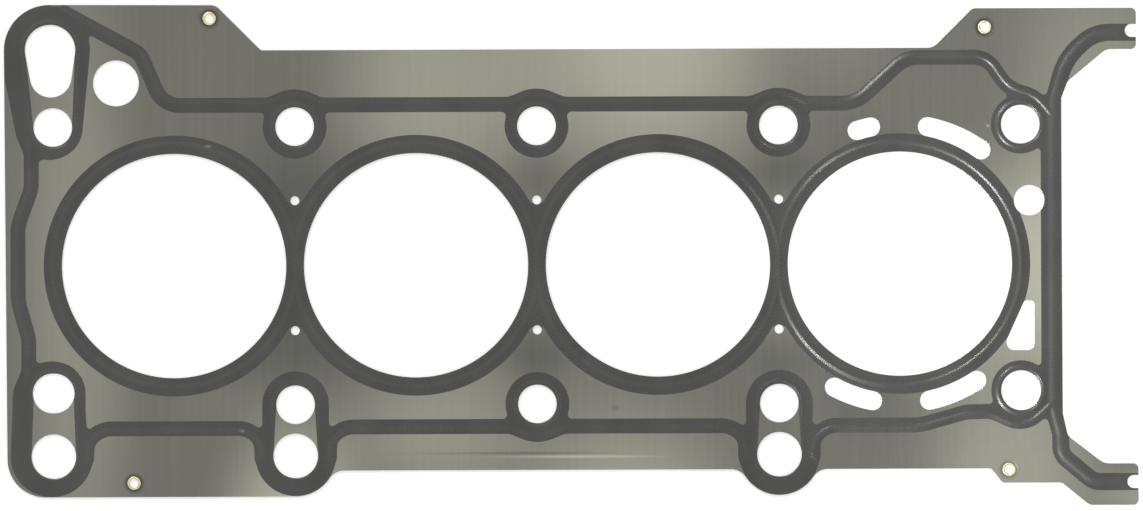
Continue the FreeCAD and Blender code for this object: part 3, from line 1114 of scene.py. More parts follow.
class Board:
    """The node tree of one finish, with short ways to set out its nodes."""

    def __init__(self, tree: bpy.types.NodeTree) -> None:
        """Take over an empty tree."""
        self.tree = tree
        tree.nodes.clear()

    @classmethod
    def of_material(cls, name: str) -> tuple["Board", bpy.types.Material]:
        """Make a material.

        Args:
            name: The material's name.

        Returns:
            The board of its tree, and the material.
        """
        material = bpy.data.materials.new(name)
        material.use_nodes = True
        return cls(material.node_tree), material

    def node(self, kind: str, inputs: dict[Union[str, int], object], **settings: object) -> bpy.types.Node:
        """Set out a node.

        Args:
            kind: The node's type, without its leading "ShaderNode".
            inputs: For each input, by name or number, the value it holds or the socket that feeds it.
            **settings: The node's own settings.

        Returns:
            The node.
        """
        made = self.tree.nodes.new("ShaderNode" + kind)
        for name, value in settings.items():
            setattr(made, name, value)
        for name, value in inputs.items():
            if isinstance(value, bpy.types.NodeSocket):
                self.tree.links.new(value, made.inputs[name])
            else:
                made.inputs[name].default_value = value
        return made

    def math(self, operation: str, first: Feed, second: Feed, clamp: bool = False) -> Socket:
        """Set out a sum of two numbers and give its result."""
        return self.node("Math", {0: first, 1: second}, operation=operation, use_clamp=clamp).outputs[0]

    def places(self) -> Socket:
        """Give the socket of the places on the piece, in metres."""
        return self.node("TexCoord", {}).outputs["Object"]

    def grain(self, stretch: Stretch, detail: float = 3.0) -> Socket:
        """Set out a noise that runs from about 0 to 1.

        Args:
            stretch: How many times it repeats in a metre along each axis.
            detail: How many finer layers it has.

        Returns:
            The noise's socket.
        """
        scaled = self.node("Mapping", {"Vector": self.places(), "Scale": stretch}).outputs[0]
        return self.node("TexNoise", {"Vector": scaled, "Scale": 1.0, "Detail": detail}).outputs["Fac"]

    def spread(self, noise: Socket, low: float, high: float) -> Socket:
        """Stretch the usual range of a noise to another one."""
        usual = {"From Min": NOISE_LOW, "From Max": NOISE_HIGH}
        return self.node("MapRange", {"Value": noise, **usual, "To Min": low, "To Max": high}).outputs[0]

    def blend(self, share: Feed, first: Colour, second: Colour) -> Socket:
        """Mix two colours by a share. Inputs 6 and 7 and output 2 are the node's sockets for colours."""
        inputs = {"Factor": share, 6: (*first, 1.0), 7: (*second, 1.0)}
        return self.node("Mix", inputs, data_type="RGBA").outputs[2]

    def bump(self, height: Socket, strength: float) -> Socket:
        """Turn a grain into a normal."""
        inputs = {"Height": height, "Strength": strength, "Distance": GRAIN_DEPTH}
        return self.node("Bump", inputs).outputs[0]

    def finish(self, **inputs: object) -> None:
        """Lead a surface shader to the material's output.

        Args:
            **inputs: The shader's inputs, with "_" for each space in their names.
        """
        named = {name.replace("_", " "): value for name, value in inputs.items()}
        shader = self.node("BsdfPrincipled", named)
        self.node("OutputMaterial", {"Surface": shader.outputs[0]})


@dataclass(frozen=True)
class TonePool:
    """A soft-edged area of a finish that is paler than the rest, or darker where its gain is negative."""

    x: float
    y: float
    reach_x: float
    reach_y: float
    gain: float

    def share(self, board: Board, places: Socket) -> Socket:
        """Set out the pool's falloff.

        Args:
            board: The board of the finish.
            places: The socket of the places on the piece.

        Returns:
            The socket of what the pool adds, from its gain in the middle to nothing at its reach.
        """
        middle = (self.x * MM, self.y * MM, 0.0)
        moved = board.node("VectorMath", {0: places, 1: middle}, operation="SUBTRACT")
        scale = (1 / (self.reach_x * MM), 1 / (self.reach_y * MM), 0.0)
        scaled = board.node("VectorMath", {0: moved.outputs[0], 1: scale}, operation="MULTIPLY")
        far = board.node("VectorMath", {0: scaled.outputs[0]}, operation="LENGTH").outputs["Value"]
        inputs = {"Value": far, "From Min": 0.0, "From Max": 1.0, "To Min": self.gain, "To Max": 0.0}
        return board.node("MapRange", inputs, interpolation_type="SMOOTHERSTEP").outputs[0]


@dataclass(frozen=True)
class SatinSteelFinish:
    """Thinly coated rolled steel: satin olive grey, brushed up and down, with painted reflections of the
    studio as paler or darker soft areas, painted highlight and shadow along the bottom step, and painted
    shade round the eyelets and between the bores.
    """

    dark: Colour = (0.068, 0.069, 0.068)
    pale: Colour = (0.50, 0.49, 0.40)
    tone: Range = (0.203, 0.233)
    streak_tone: Range = (-0.015, 0.015)
    roughness: Range = (0.21, 0.25)
    metallic: float = 0.9
    clouds: Stretch = (14.0, 9.0, 1.0)
    streaks: Stretch = (700.0, 12.0, 1.0)
    brushing: Stretch = (2600.0, 90.0, 1.0)
    brushing_bump: float = 0.04
    # Painted light: soft areas that are paler, or darker where the gain is negative, where the studio's
    # light is reflected in the sheet.
    painted_light_pools: tuple[TonePool, ...] = (
        TonePool(40, 80, 74, 87, 0.57),
        TonePool(-36, -58, 53, 45, 0.30),
        TonePool(31, -170, 80, 164, 1.10),
        TonePool(200, 40, 53, 121, 0.26),
        TonePool(-164, -10, 32, 195, 0.23),
        TonePool(169, -73, 48, 49, 0.32),
        TonePool(-109, -50, 37, 16, 0.05),
        TonePool(106, 84, 32, 36, 0.12),
        TonePool(-86, -100, 40, 73, 0.64),
        TonePool(221, -83, 34, 17, 0.29),
        TonePool(-34, 66, 60, 79, 0.37),
        TonePool(115, -6, 38, 79, -0.26),
        TonePool(-85, 3, 40, 74, -0.15),
        TonePool(228, -6, 216, 69, 0.59),
    )
    # Painted highlight and painted shadow along the pressed step of the bottom edge, then a smudge and a
    # pale speck.
    painted_step_light_and_marks: tuple[TonePool, ...] = (
        # Painted highlight along the step.
        TonePool(14, -68.2, 44, 0.9, 0.36),
        # Painted shadow along the step.
        TonePool(-8, -66.9, 58, 0.8, -0.18),
        TonePool(27.5, -51, 2.4, 1.6, -0.12),
        TonePool(160.5, 49, 1.0, 1.0, 0.4),
    )

    def material(self, painted_shade_pools: Sequence[TonePool]) -> bpy.types.Material:
        """Make the material.

        Args:
            painted_shade_pools: Painted shade that belongs to features of the plate, round the eyelets'
                dishes and between the bores.

        Returns:
            The material.
        """
        board, material = Board.of_material("satin_steel")
        places = board.places()
        tone = board.spread(board.grain(self.clouds, detail=1.0), *self.tone)
        # Painted light and shade go into the tone here: the pools' painted reflections, the step's painted
        # highlight and shadow, and the painted shade round the eyelets and between the bores. A smudge and
        # a pale speck are added with them.
        for pool in [*self.painted_light_pools, *self.painted_step_light_and_marks, *painted_shade_pools]:
            tone = board.math("ADD", tone, pool.share(board, places))
        streaks = board.spread(board.grain(self.streaks), *self.streak_tone)
        tone = board.math("ADD", tone, streaks, clamp=True)
        brushing = board.grain(self.brushing, detail=2.0)
        board.finish(
            Base_Color=board.blend(tone, self.dark, self.pale),
            Metallic=self.metallic,
            Roughness=board.spread(brushing, *self.roughness),
            Normal=board.bump(brushing, self.brushing_bump),
        )
        return material


@dataclass(frozen=True)
class SealCoatFinish:
    """Printed elastomer: nearly black, satin, with a fine grain from the screen, paler on its crests from
    rubbing and from painted light that stands in for the beads' shading, and with two painted glints.
    """

    dark: Colour = (0.0225, 0.0225, 0.0205)
    worn_and_highlight: Colour = (0.160, 0.160, 0.150)
    crest_wear_and_painted_light: float = 0.06
    patch_wear: Range = (0.0, 0.12)
    roughness: Range = (0.22, 0.30)
    specular_level: float = 0.7
    patches: Stretch = (60.0, 35.0, 60.0)
    grain: Stretch = (3500.0, 3500.0, 3500.0)
    grain_bump: float = 0.03
    # Painted glints: two small highlights on the beads, painted as pale spots in the coat's colour.
    painted_glints: tuple[TonePool, ...] = (
        TonePool(-105, -58.7, 1.6, 0.8, 1.0),
        TonePool(-116.8, 42.5, 2.2, 0.8, 0.8),
    )

    def material(self, film: float, crown: float) -> bpy.types.Material:
        """Make the material.

        Args:
            film: The height of the flat print.
            crown: The height of the beads' crests.

        Returns:
            The material.
        """
        board, material = Board.of_material("printed_elastomer")
        places = board.places()
        wear_and_painted_light = board.spread(board.grain(self.patches, detail=4.0), *self.patch_wear)
        # Paler with height: rubbing on the crests, and painted light that stands in for the beads' shading.
        height = board.node("SeparateXYZ", {0: places}).outputs["Z"]
        inputs = {"Value": height, "From Min": film * MM, "From Max": crown * MM, "To Max": self.crest_wear_and_painted_light}
        wear_and_painted_light = board.math("ADD", wear_and_painted_light, board.node("MapRange", inputs).outputs[0])
        for glint in self.painted_glints:
            wear_and_painted_light = board.math("ADD", wear_and_painted_light, glint.share(board, places), clamp=True)
        grain = board.grain(self.grain)
        board.finish(
            Base_Color=board.blend(wear_and_painted_light, self.dark, self.worn_and_highlight),
            Roughness=board.spread(grain, *self.roughness),
            Specular_IOR_Level=self.specular_level,
            Normal=board.bump(grain, self.grain_bump),
        )
        return material


@dataclass(frozen=True)
class EyeletBrassFinish:
    """Bright rolled brass, a little tarnished in cloudy patches."""

    bright: Colour = (0.84, 0.77, 0.50)
    tarnished: Colour = (0.48, 0.43, 0.26)
    roughness: Range = (0.22, 0.37)
    patches: Stretch = (900.0, 900.0, 900.0)
    grain: Stretch = (5000.0, 5000.0, 5000.0)
    grain_bump: float = 0.15

    def material(self) -> bpy.types.Material:
        """Make the material.

        Returns:
            The material.
        """
        board, material = Board.of_material("rolled_brass")
        clouds = board.spread(board.grain(self.patches), 0.0, 1.0)
        board.finish(
            Base_Color=board.blend(clouds, self.bright, self.tarnished),
            Metallic=1.0,
            Roughness=board.spread(clouds, *self.roughness),
            Normal=board.bump(board.grain(self.grain), self.grain_bump),
        )
        return material


@dataclass(frozen=True)
class SteelPlate:
    """The riveted plate: its outline, its holes, the step at its bottom edge and the eyelets' dishes."""

    plan: GasketPlan
    thickness: float
    pitch: float = 0.9
    grid: float = 6.0
    # How far in from the edge and how far below the face each ring of the rolled upper edge is.
    rolled_edge: tuple[Place, ...] = ((0.12, 0.0), (0.06, 0.016), (0.02, 0.05), (0.0, 0.12))
    lower_edge: float = 0.04
    step_depth: float = 0.12
    step_half_width: float = 0.45
    dish_depth: float = 0.06
    dish_rim: float = 3.4
    dish_floor: float = 2.6
    rows_across: int = 7
    step_row_pitch: float = 1.2
    dish_row_pitch: float = 0.4
    dish_row_margin: float = 0.3
    edge_margin: float = 0.5
    eyelet_margin: float = 0.2
    grid_margin: float = 2.0
    least_gap: float = 0.08
    sharp_degrees: float = 12.0
    # Painted shade: a dark ring over each eyelet's dish, and a darker area between the bores beside each
    # steam hole.
    rivet_painted_shade: tuple[float, float, float] = (4.6, 4.6, -0.7)
    steam_painted_shade: tuple[float, float, float] = (19.0, 16.0, -0.1)
    steam_shade_shift: float = 1.45

    def step_path(self) -> Path:
        """Give the pressed step of the bottom edge, closed below the plate.

        Returns:
            The closed path.
        """
        low, floor = -67.6, -80.0
        left = [(-58.0, floor, 0.0), (-56.5, -73.0, 0.0), (-51.5, -69.6, 4.0), (-46.5, low, 4.0)]
        right = [(46.0, low, 4.0), (50.8, -69.4, 4.0), (55.5, -73.0, 0.0), (57.0, floor, 0.0)]
        return rounded([*left, *right], True)

    def top(self, points: np.ndarray) -> np.ndarray:
        """Give the height of the plate's upper face.

        Args:
            points: Points, one a row.

        Returns:
            One height a point.
        """
        depth = -self.step_path().signed(points)
        width = self.step_half_width
        heights = self.thickness - self.step_depth * smooth_step((depth + width) / (2 * width))
        for centre in self.plan.eyelets():
            far = np.linalg.norm(points - centre, axis=1)
            down = smooth_step((self.dish_rim - far) / (self.dish_rim - self.dish_floor))
            heights -= self.dish_depth * down
        return heights

    def painted_shade_pools(self) -> list[TonePool]:
        """Give the painted shade of the plate.

        Returns:
            Painted shade in the dishes round the eyelets, and painted shade between the bores beside the
            steam holes from the middle to the right.
        """
        rivets = [TonePool(x, y, *self.rivet_painted_shade) for x, y in self.plan.eyelets()]
        beside_steam = [(x, y * self.steam_shade_shift) for x, y in self.plan.steam_centres() if x >= 0]
        return rivets + [TonePool(x, y, *self.steam_painted_shade) for x, y in beside_steam]

    def holes(self) -> list[Path]:
        """Give every hole, the eyelets' own among them."""
        return self.plan.holes() + [ring(centre, self.plan.eyelet_hole) for centre in self.plan.eyelets()]

    def edges(self) -> list[np.ndarray]:
        """Give the outline and every hole as loops of points with the plate on their left."""
        loops = [turned_left(self.plan.outline().places(self.pitch))]
        return loops + [turned_left(hole.places(self.pitch))[::-1] for hole in self.holes()]

    def inner_points(self) -> np.ndarray:
        """Give the points that carry the step and the dishes, and a coarse grid over the rest.

        Returns:
            The points inside the plate, one a row.
        """
        outline, eyelets = self.plan.outline(), self.plan.eyelets()
        low, high = outline.box()
        columns = [np.arange(low[axis], high[axis], self.grid) for axis in (0, 1)]
        grid = np.stack(np.meshgrid(*columns), -1).reshape(-1, 2)
        width, margin = self.step_half_width, self.dish_row_margin
        rows = [beside(self.step_path(), np.linspace(-width, width, self.rows_across), self.step_row_pitch)]
        radii = np.linspace(self.dish_floor - margin, self.dish_rim + margin, self.rows_across)
        for centre in eyelets:
            rows += [beside(ring(centre, radius), [0.0], self.dish_row_pitch) for radius in radii]
        points = np.vstack([*rows, grid])
        inside = outline.signed(points) < -self.edge_margin
        for hole in self.plan.holes():
            inside &= hole.signed(points) > self.edge_margin
        far = np.linalg.norm(points[:, None] - np.array(eyelets), axis=2).min(axis=1)
        on_grid = np.arange(len(points)) >= len(points) - len(grid)
        clear, edge = self.dish_rim + self.grid_margin, self.plan.eyelet_hole + self.eyelet_margin
        inside &= far > np.where(on_grid, clear, edge)
        return spaced(points[inside], self.least_gap)

    def build(self, material: bpy.types.Material) -> bpy.types.Object:
        """Make the plate.

        Args:
            material: Its finish.

        Returns:
            The piece.
        """
        edges = self.edges()
        skin = Skin.over([inset(edge, self.rolled_edge[0][0]) for edge in edges], self.inner_points())
        draft = MeshDraft.empty()
        upper = draft.add_points(skin.points, self.top(skin.points))
        lower = draft.add_points(skin.points, 0.0)
        draft.add_faces(upper[skin.triangles])
        draft.add_faces(lower[skin.triangles], turned=True)
        for edge, loop in zip(edges, skin.loops):
            above = upper[loop]
            for depth, drop in self.rolled_edge[1:]:
                flat = inset(edge, depth)
                next_ring = draft.add_points(flat, self.top(flat) - drop)
                draft.join(above, next_ring)
                above = next_ring
            foot = draft.add_points(edge, self.lower_edge)
            draft.join(above, foot)
            draft.join(foot, lower[loop])
        piece = draft.piece("carrier_plate", material, self.sharp_degrees)
        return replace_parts(piece, "steel_plate")


class CoatArea(Enum):
    """The two separate areas of the printed coat, each with its piece's name."""

    BORES = "bore_coat"
    PASSAGES = "passage_coat"


@dataclass(frozen=True)
class Bead:
    """A sealing bead: a rounded ridge along a path, with its own width on each side of its crest."""

    path: Path
    shift: float
    left_width: float
    right_width: float
    rows_a_side: int = 7

    def share(self, points: np.ndarray) -> np.ndarray:
        """Give the bead's height.

        Args:
            points: Points, one a row.

        Returns:
            One height a point, as a share of the full height.
        """
        offset = self.path.offset(points) - self.shift
        width = np.where(offset > 0, self.left_width, self.right_width)
        return np.cos(np.clip(np.abs(offset) / width, 0, 1) * math.pi / 2) ** 2

    def rows(self, pitch: float) -> np.ndarray:
        """Set rows of points over the bead, from foot to foot.

        Args:
            pitch: The distance between a row's points.

        Returns:
            The points, one a row.
        """
        shares = np.linspace(1, 0, self.rows_a_side)
        offsets = [*(self.shift + self.left_width * shares), *(self.shift - self.right_width * shares[:-1])]
        return beside(self.path, offsets, pitch)


@dataclass(frozen=True)
class SealCoat:
    """The printed coat: bands round bores, bolt holes and drains and along the edges, with their beads."""

    plan: GasketPlan
    seat: float
    crown: float
    film: float = 0.05
    film_edge: float = 0.18
    film_foot: float = 0.6
    film_sink: float = 0.1
    bore_width: float = 6.5
    bore_bead: float = 3.45
    bead_half_width: float = 1.35
    ring_width: float = 4.5
    right_ring_width: float = 3.6
    loop_widths: tuple[float, float, float] = (4.3, 5.0, 5.0)
    drain_widths: tuple[float, float, float] = (5.8, 6.4, 6.4)
    pear_bolt_width: float = 3.7
    pear_width: float = 5.0
    hole_bead: float = 0.95
    hole_bead_inside: float = 0.75
    line_half_width: float = 2.65
    line_bead_shift: float = 0.7
    line_bead_outside: float = 1.75
    edge_centre: float = 11.1
    edge_half_width: float = 3.6
    horn_half_width: float = 3.05
    horn_bead_gap: float = 7.0
    horn_bead_shift: float = 0.3
    horn_bead_width: float = 2.3
    edge_band_end: float = 8.0
    bolt_field_radius: float = 11.3
    drain_field_radius: float = 13.9
    pear_field_radius: float = 15.5
    low_bolt_field_shift: Place = (-3.2, -1.3)
    drain_field_shift: Place = (-1.4, 0.0)
    top_bolt_field_shift: Place = (-2.1, 0.0)
    pear_field_shift: Place = (-2.4, 0.4)
    belt_ease: float = 0.01
    steam_bare: float = 2.1
    steam_bare_shift: float = 0.55
    hole_gap: float = 0.1
    bore_fillet: float = 0.8
    line_fillet: float = 2.2
    bead_fillet: float = 0.2
    trace_margin: float = 1.0
    row_pitch: float = 0.85
    rim_margin: float = 0.8
    row_margin: float = 2.3
    least_gap: float = 0.14

    def drain_belts(self, extras: Sequence[float]) -> list[Path]:
        """Give the belts round each drain and the bolt hole beside it.

        Args:
            extras: How much wider than its bolt hole each belt is.

        Returns:
            The closed paths, from left to right.
        """
        plan, belts = self.plan, []
        for number, extra in zip((-2, -1, 1), extras):
            radius = plan.bolt_radius(number, -1) + extra
            below = max(radius, plan.drain_hole) + self.belt_ease
            belts.append(belt(plan.bolt(number, -1), radius, plan.drain(number), below))
        return belts

    def pear_belt(self, bolt_extra: float, pear_extra: float) -> Path:
        """Give the belt round the pear hole and the bolt hole below it.

        Args:
            bolt_extra: How much wider than the bolt hole it is there.
            pear_extra: How much wider than the pear hole's top it is there.

        Returns:
            The closed path.
        """
        plan = self.plan
        pear = plan.pear(plan.pear_top_rise)
        return belt(plan.bolt(-2, 1), plan.bolt_hole + bolt_extra, pear, plan.pear_top + pear_extra)

    def single_bolts(self, extra: float, right_extra: float) -> list[Path]:
        """Give a ring round each bolt hole that stands alone.

        Args:
            extra: How much wider than its hole each ring is.
            right_extra: The same for the two on the right.

        Returns:
            The closed paths.
        """
        holes = [(number, 1) for number in range(-1, 3)] + [(0, -1), (2, -1)]
        extras = [right_extra if number == 2 else extra for number, _ in holes]
        radii = [self.plan.bolt_radius(*hole) + more for hole, more in zip(holes, extras)]
        return [ring(self.plan.bolt(*hole), radius) for hole, radius in zip(holes, radii)]

    def edge_lines(self) -> list[tuple[Path, int]]:
        """Give the lines along the top, bottom and left edges.

        Returns:
            Each line, with 1 where its outer side is on its left and -1 where it is on its right.
        """
        plan, reach = self.plan, self.plan.drain_hole + self.drain_widths[1] / 2
        return [
            (plan.top_line(), 1),
            (plan.low_line(-2, -1, reach, []), -1),
            (plan.low_line(-1, 1, reach, plan.bump(0, -plan.line_row, -1)), -1),
            (plan.low_right_line(reach), -1),
            (plan.left_line(), -1),
        ]

    def corner_fields(self) -> list[Path]:
        """Give the belts that fill the two left corners out to the plate's edge.

        Returns:
            The closed paths, the lower corner's first.
        """
        plan = self.plan
        low_bolt = shifted(plan.bolt(-2, -1), self.low_bolt_field_shift)
        top_bolt = shifted(plan.bolt(-2, 1), self.top_bolt_field_shift)
        drain = shifted(plan.drain(-2), self.drain_field_shift)
        pear = shifted(plan.pear(plan.pear_top_rise), self.pear_field_shift)
        return [
            belt(low_bolt, self.bolt_field_radius, drain, self.drain_field_radius),
            belt(top_bolt, self.bolt_field_radius, pear, self.pear_field_radius),
        ]

    def crotch_webs(self) -> list[Path]:
        """Give the webs that fill the corners between two bores' bands, up to the steam holes.

        Returns:
            The closed paths.
        """
        webs = []
        half, band = self.plan.bore_pitch / 2, self.plan.bore + self.bore_width
        for x, y in self.plan.steam_centres():
            share = band / math.hypot(half, y)
            out, rise = half * (1 - share), y * share
            webs.append(rounded([(x - out, rise, 0.0), (x + out, rise, 0.0), (x, 0.0, 0.0)], True))
        return webs

    def bare_steam_spots(self) -> list[Path]:
        """Give the round bare spot at each steam hole, a little further from the bore row than the hole."""
        spots = [(x, y + math.copysign(self.steam_bare_shift, y)) for x, y in self.plan.steam_centres()]
        return [ring(spot, self.steam_bare) for spot in spots]

    def printed(self, area: CoatArea) -> list[Union[Path, Strip]]:
        """Give the shapes that a print is made of.

        Args:
            area: Which of the two prints.

        Returns:
            The shapes.
        """
        plan = self.plan
        if area is CoatArea.BORES:
            bands = [ring(centre, plan.bore + self.bore_width) for centre in plan.bore_centres()]
            return bands + self.crotch_webs()
        shapes: list[Union[Path, Strip]] = self.drain_belts(self.loop_widths)
        for number, width in zip((-2, -1, 1), self.drain_widths):
            shapes.append(ring(plan.drain(number), plan.drain_hole + width))
        shapes.append(self.pear_belt(self.pear_bolt_width, self.pear_width))
        shapes += self.single_bolts(self.ring_width, self.right_ring_width) + self.corner_fields()
        shapes += [Strip(line, self.line_half_width) for line, _ in self.edge_lines()]
        shapes.append(Strip(plan.right_line(0.0), self.horn_half_width))
        edge, reach = plan.column(2) + self.edge_centre, plan.line_row - self.edge_band_end
        shapes.append(Strip(Path((Run((edge, reach), (edge, -reach)),), False), self.edge_half_width))
        return shapes

    def beads(self, area: CoatArea) -> list[Bead]:
        """Give a print's sealing beads.

        Args:
            area: Which of the two prints.

        Returns:
            The beads.
        """
        plan, half = self.plan, self.bead_half_width
        if area is CoatArea.BORES:
            bores = [ring(centre, plan.bore + self.bore_bead) for centre in plan.bore_centres()]
            return [Bead(bore, 0.0, half, half) for bore in bores]
        rims = [*self.drain_belts([self.hole_bead] * 3), *self.single_bolts(self.hole_bead, self.hole_bead)]
        rims.append(self.pear_belt(self.hole_bead, self.hole_bead))
        beads = [Bead(rim, 0.0, self.hole_bead_inside, half) for rim in rims]
        for line, way in self.edge_lines():
            widths = (self.line_bead_outside, half)[::way]
            beads.append(Bead(line, way * self.line_bead_shift, *widths))
        horns, wide = plan.right_line(self.horn_bead_gap), self.horn_bead_width
        return [*beads, Bead(horns, self.horn_bead_shift, wide, wide)]

    def cover(self, area: CoatArea) -> Measure:
        """Give the function that measures the distance from the print's edge, negative on the print.

        Args:
            area: Which of the two prints.

        Returns:
            The function, from points to signed distances.
        """
        shapes = self.printed(area)
        fillet = self.bore_fillet if area is CoatArea.BORES else self.line_fillet
        bare = [(hole, self.hole_gap) for hole in self.plan.holes()]
        bare += [(field, 0.0) for field in [*self.drain_belts([0.0] * 3), self.pear_belt(0.0, 0.0)]]
        bare += [(spot, 0.0) for spot in self.bare_steam_spots()]
        outline = self.plan.outline()

        def measure(points: np.ndarray) -> np.ndarray:
            """Give the distance from the print's edge.

            Args:
                points: Points, one a row.

            Returns:
                One distance a point.
            """
            joined = np.full(len(points), REACH)
            for shape in shapes:
                joined = round_join(joined, shape.signed(points), fillet)
            for hole, gap in bare:
                joined = np.maximum(joined, gap - hole.signed(points))
            if area is CoatArea.PASSAGES:
                joined = np.maximum(joined, outline.signed(points) + self.hole_gap)
            return joined

        return measure

    def rise(self, area: CoatArea, cover: Measure, points: np.ndarray) -> np.ndarray:
        """Give the height of the coat's face over the plate.

        Args:
            area: Which of the two prints.
            cover: Measures the distance from the print's edge.
            points: Points on the print, one a row.

        Returns:
            One height a point.
        """
        share = np.zeros(len(points))
        for bead in self.beads(area):
            share = 1 - round_join(1 - share, 1 - bead.share(points), self.bead_fillet)
        depth, foot = -cover(points), self.film_foot
        film = self.film * (foot + (1 - foot) * smooth_step(depth / self.film_edge))
        held = np.clip(share, 0, 1) * smooth_step(depth / (2 * self.film_edge))
        return film + (self.crown - self.seat - self.film) * held

    def inner_points(self, area: CoatArea, cover: Measure, edges: Sequence[np.ndarray]) -> np.ndarray:
        """Give the points inside a print, which carry its rim and its beads.

        Args:
            area: Which of the two prints.
            cover: Measures the distance from the print's edge.
            edges: The print's edge loops.

        Returns:
            The points, one a row.
        """
        depths = (self.film_edge, 2 * self.film_edge)
        rims = np.vstack([inset(edge, depth) for depth in depths for edge in edges])
        rims = rims[cover(rims) < -self.rim_margin * self.film_edge]
        rows = np.vstack([bead.rows(self.row_pitch) for bead in self.beads(area)])
        rows = rows[cover(rows) < -self.row_margin * self.film_edge]
        return spaced(np.vstack([rims, rows]), self.least_gap)

    def build(self, area: CoatArea, material: bpy.types.Material) -> bpy.types.Object:
        """Make one of the two prints.

        Args:
            area: Which of the two prints.
            material: Its finish.

        Returns:
            The piece.
        """
        cover = self.cover(area)
        low, high = self.plan.outline().box()
        edges = EdgeTracer(tuple(low - self.trace_margin), tuple(high + self.trace_margin)).loops(cover)
        skin = Skin.over(edges, self.inner_points(area, cover, edges))
        draft = MeshDraft.empty()
        upper = draft.add_points(skin.points, self.seat + self.rise(area, cover, skin.points))
        draft.add_faces(upper[skin.triangles])
        base = Skin.over(edges, np.empty((0, 2)))
        lower = draft.add_points(base.points, self.seat - self.film_sink * self.film)
        draft.add_faces(lower[base.triangles], turned=True)
        for loop in base.loops:
            draft.join(upper[loop], lower[loop])
        piece = draft.piece(area.value, material)
        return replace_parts(piece, "seal_coating")


@dataclass(frozen=True)
class EyeletSet:
    """The four brass eyelets that rivet the plate, each a barrel with a rolled lip."""

    plan: GasketPlan
    seat: float
    crown: float
    bore: float = 1.55
    barrel: float = 1.9
    lip: float = 2.4
    bore_chamfer: float = 0.05
    barrel_chamfer: float = 0.04
    lip_chamfer: float = 0.08
    lip_gap: float = 0.01
    lip_foot: float = 0.2
    lip_roundness: float = 0.8
    roll_degrees: int = 15
    around: int = 72
    sharp_degrees: float = 50.0

    def profile(self) -> list[Place]:
        """Give the section of an eyelet.

        Returns:
            Its radii and heights, anticlockwise from the barrel's foot.
        """
        roll = self.crown - self.seat
        wall = self.barrel - self.bore
        shape = [
            (self.bore + self.bore_chamfer, 0.0),
            (self.barrel - self.barrel_chamfer, 0.0),
            (self.barrel, self.barrel_chamfer),
            (self.barrel, self.seat),
            (self.lip - self.lip_chamfer, self.seat + self.lip_gap),
            (self.lip, self.seat + self.lip_foot * roll),
        ]
        reach = self.lip - self.bore
        for degrees in range(self.roll_degrees, 180, self.roll_degrees):
            angle = math.radians(degrees)
            radius = self.bore + reach / 2 * (1 + math.cos(angle))
            rise = self.lip_foot + (1 - self.lip_foot) * math.sin(angle) ** self.lip_roundness
            shape.append((radius, self.seat + roll * rise))
        shape += [(self.bore, self.seat - wall), (self.bore, self.bore_chamfer)]
        return shape

    def build(self, material: bpy.types.Material) -> list[bpy.types.Object]:
        """Make the four eyelets.

        Args:
            material: Their finish.

        Returns:
            The pieces.
        """
        profile = self.profile()
        turn = np.arange(self.around) / self.around * 2 * math.pi
        circle = np.column_stack([np.cos(turn), np.sin(turn)])
        pieces = []
        for number, centre in enumerate(self.plan.eyelets(), 1):
            draft = MeshDraft.empty()
            rings = [draft.add_points(centre + circle * radius, height) for radius, height in profile]
            for lower, upper in zip(rings, rings[1:] + rings[:1]):
                draft.join(upper, lower)
            piece = draft.piece(f"eyelet_{number}", material, self.sharp_degrees)
            pieces.append(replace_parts(piece, "eyelets"))
        return pieces


def turned_left(loop: np.ndarray) -> np.ndarray:
    """Give a loop's points in the order that turns left.

    Args:
        loop: The points of a closed loop.

    Returns:
        The same points.
    """
    ahead = np.roll(loop, -1, axis=0)
    area = (loop[:, 0] * ahead[:, 1] - loop[:, 1] * ahead[:, 0]).sum()
    return loop if area > 0 else loop[::-1]


class LampKind(Enum):
    """The kinds of lamp in the studio."""

    AREA = "AREA"
    SPOT = "SPOT"


@dataclass(frozen=True)
class Lamp:
    """A lamp that faces the gasket, placed by its compass and its lean from straight above."""

    name: str
    kind: LampKind
    aim: Place
    compass: float
    lean: float
    distance: float
    size: float
    power: float
    cone_degrees: float = 0.0
    cone_blend: float = 0.15

    def build(self) -> None:
        """Make the lamp."""
        data = bpy.data.lights.new(self.name, self.kind.value)
        data.energy = self.power
        if self.kind is LampKind.AREA:
            data.size = self.size
        else:
            data.shadow_soft_size = self.size
            data.spot_size = math.radians(self.cone_degrees)
            data.spot_blend = self.cone_blend
        made = bpy.data.objects.new(self.name, data)
        bpy.context.scene.collection.objects.link(made)
        compass, lean = math.radians(self.compass), math.radians(self.lean)
        flat = math.sin(lean)
        out = Vector((math.cos(compass) * flat, math.sin(compass) * flat, math.cos(lean)))
        made.location = Vector((self.aim[0] * MM, self.aim[1] * MM, 0.0)) + out * self.distance
        made.rotation_euler = out.to_track_quat("Z", "Y").to_euler()


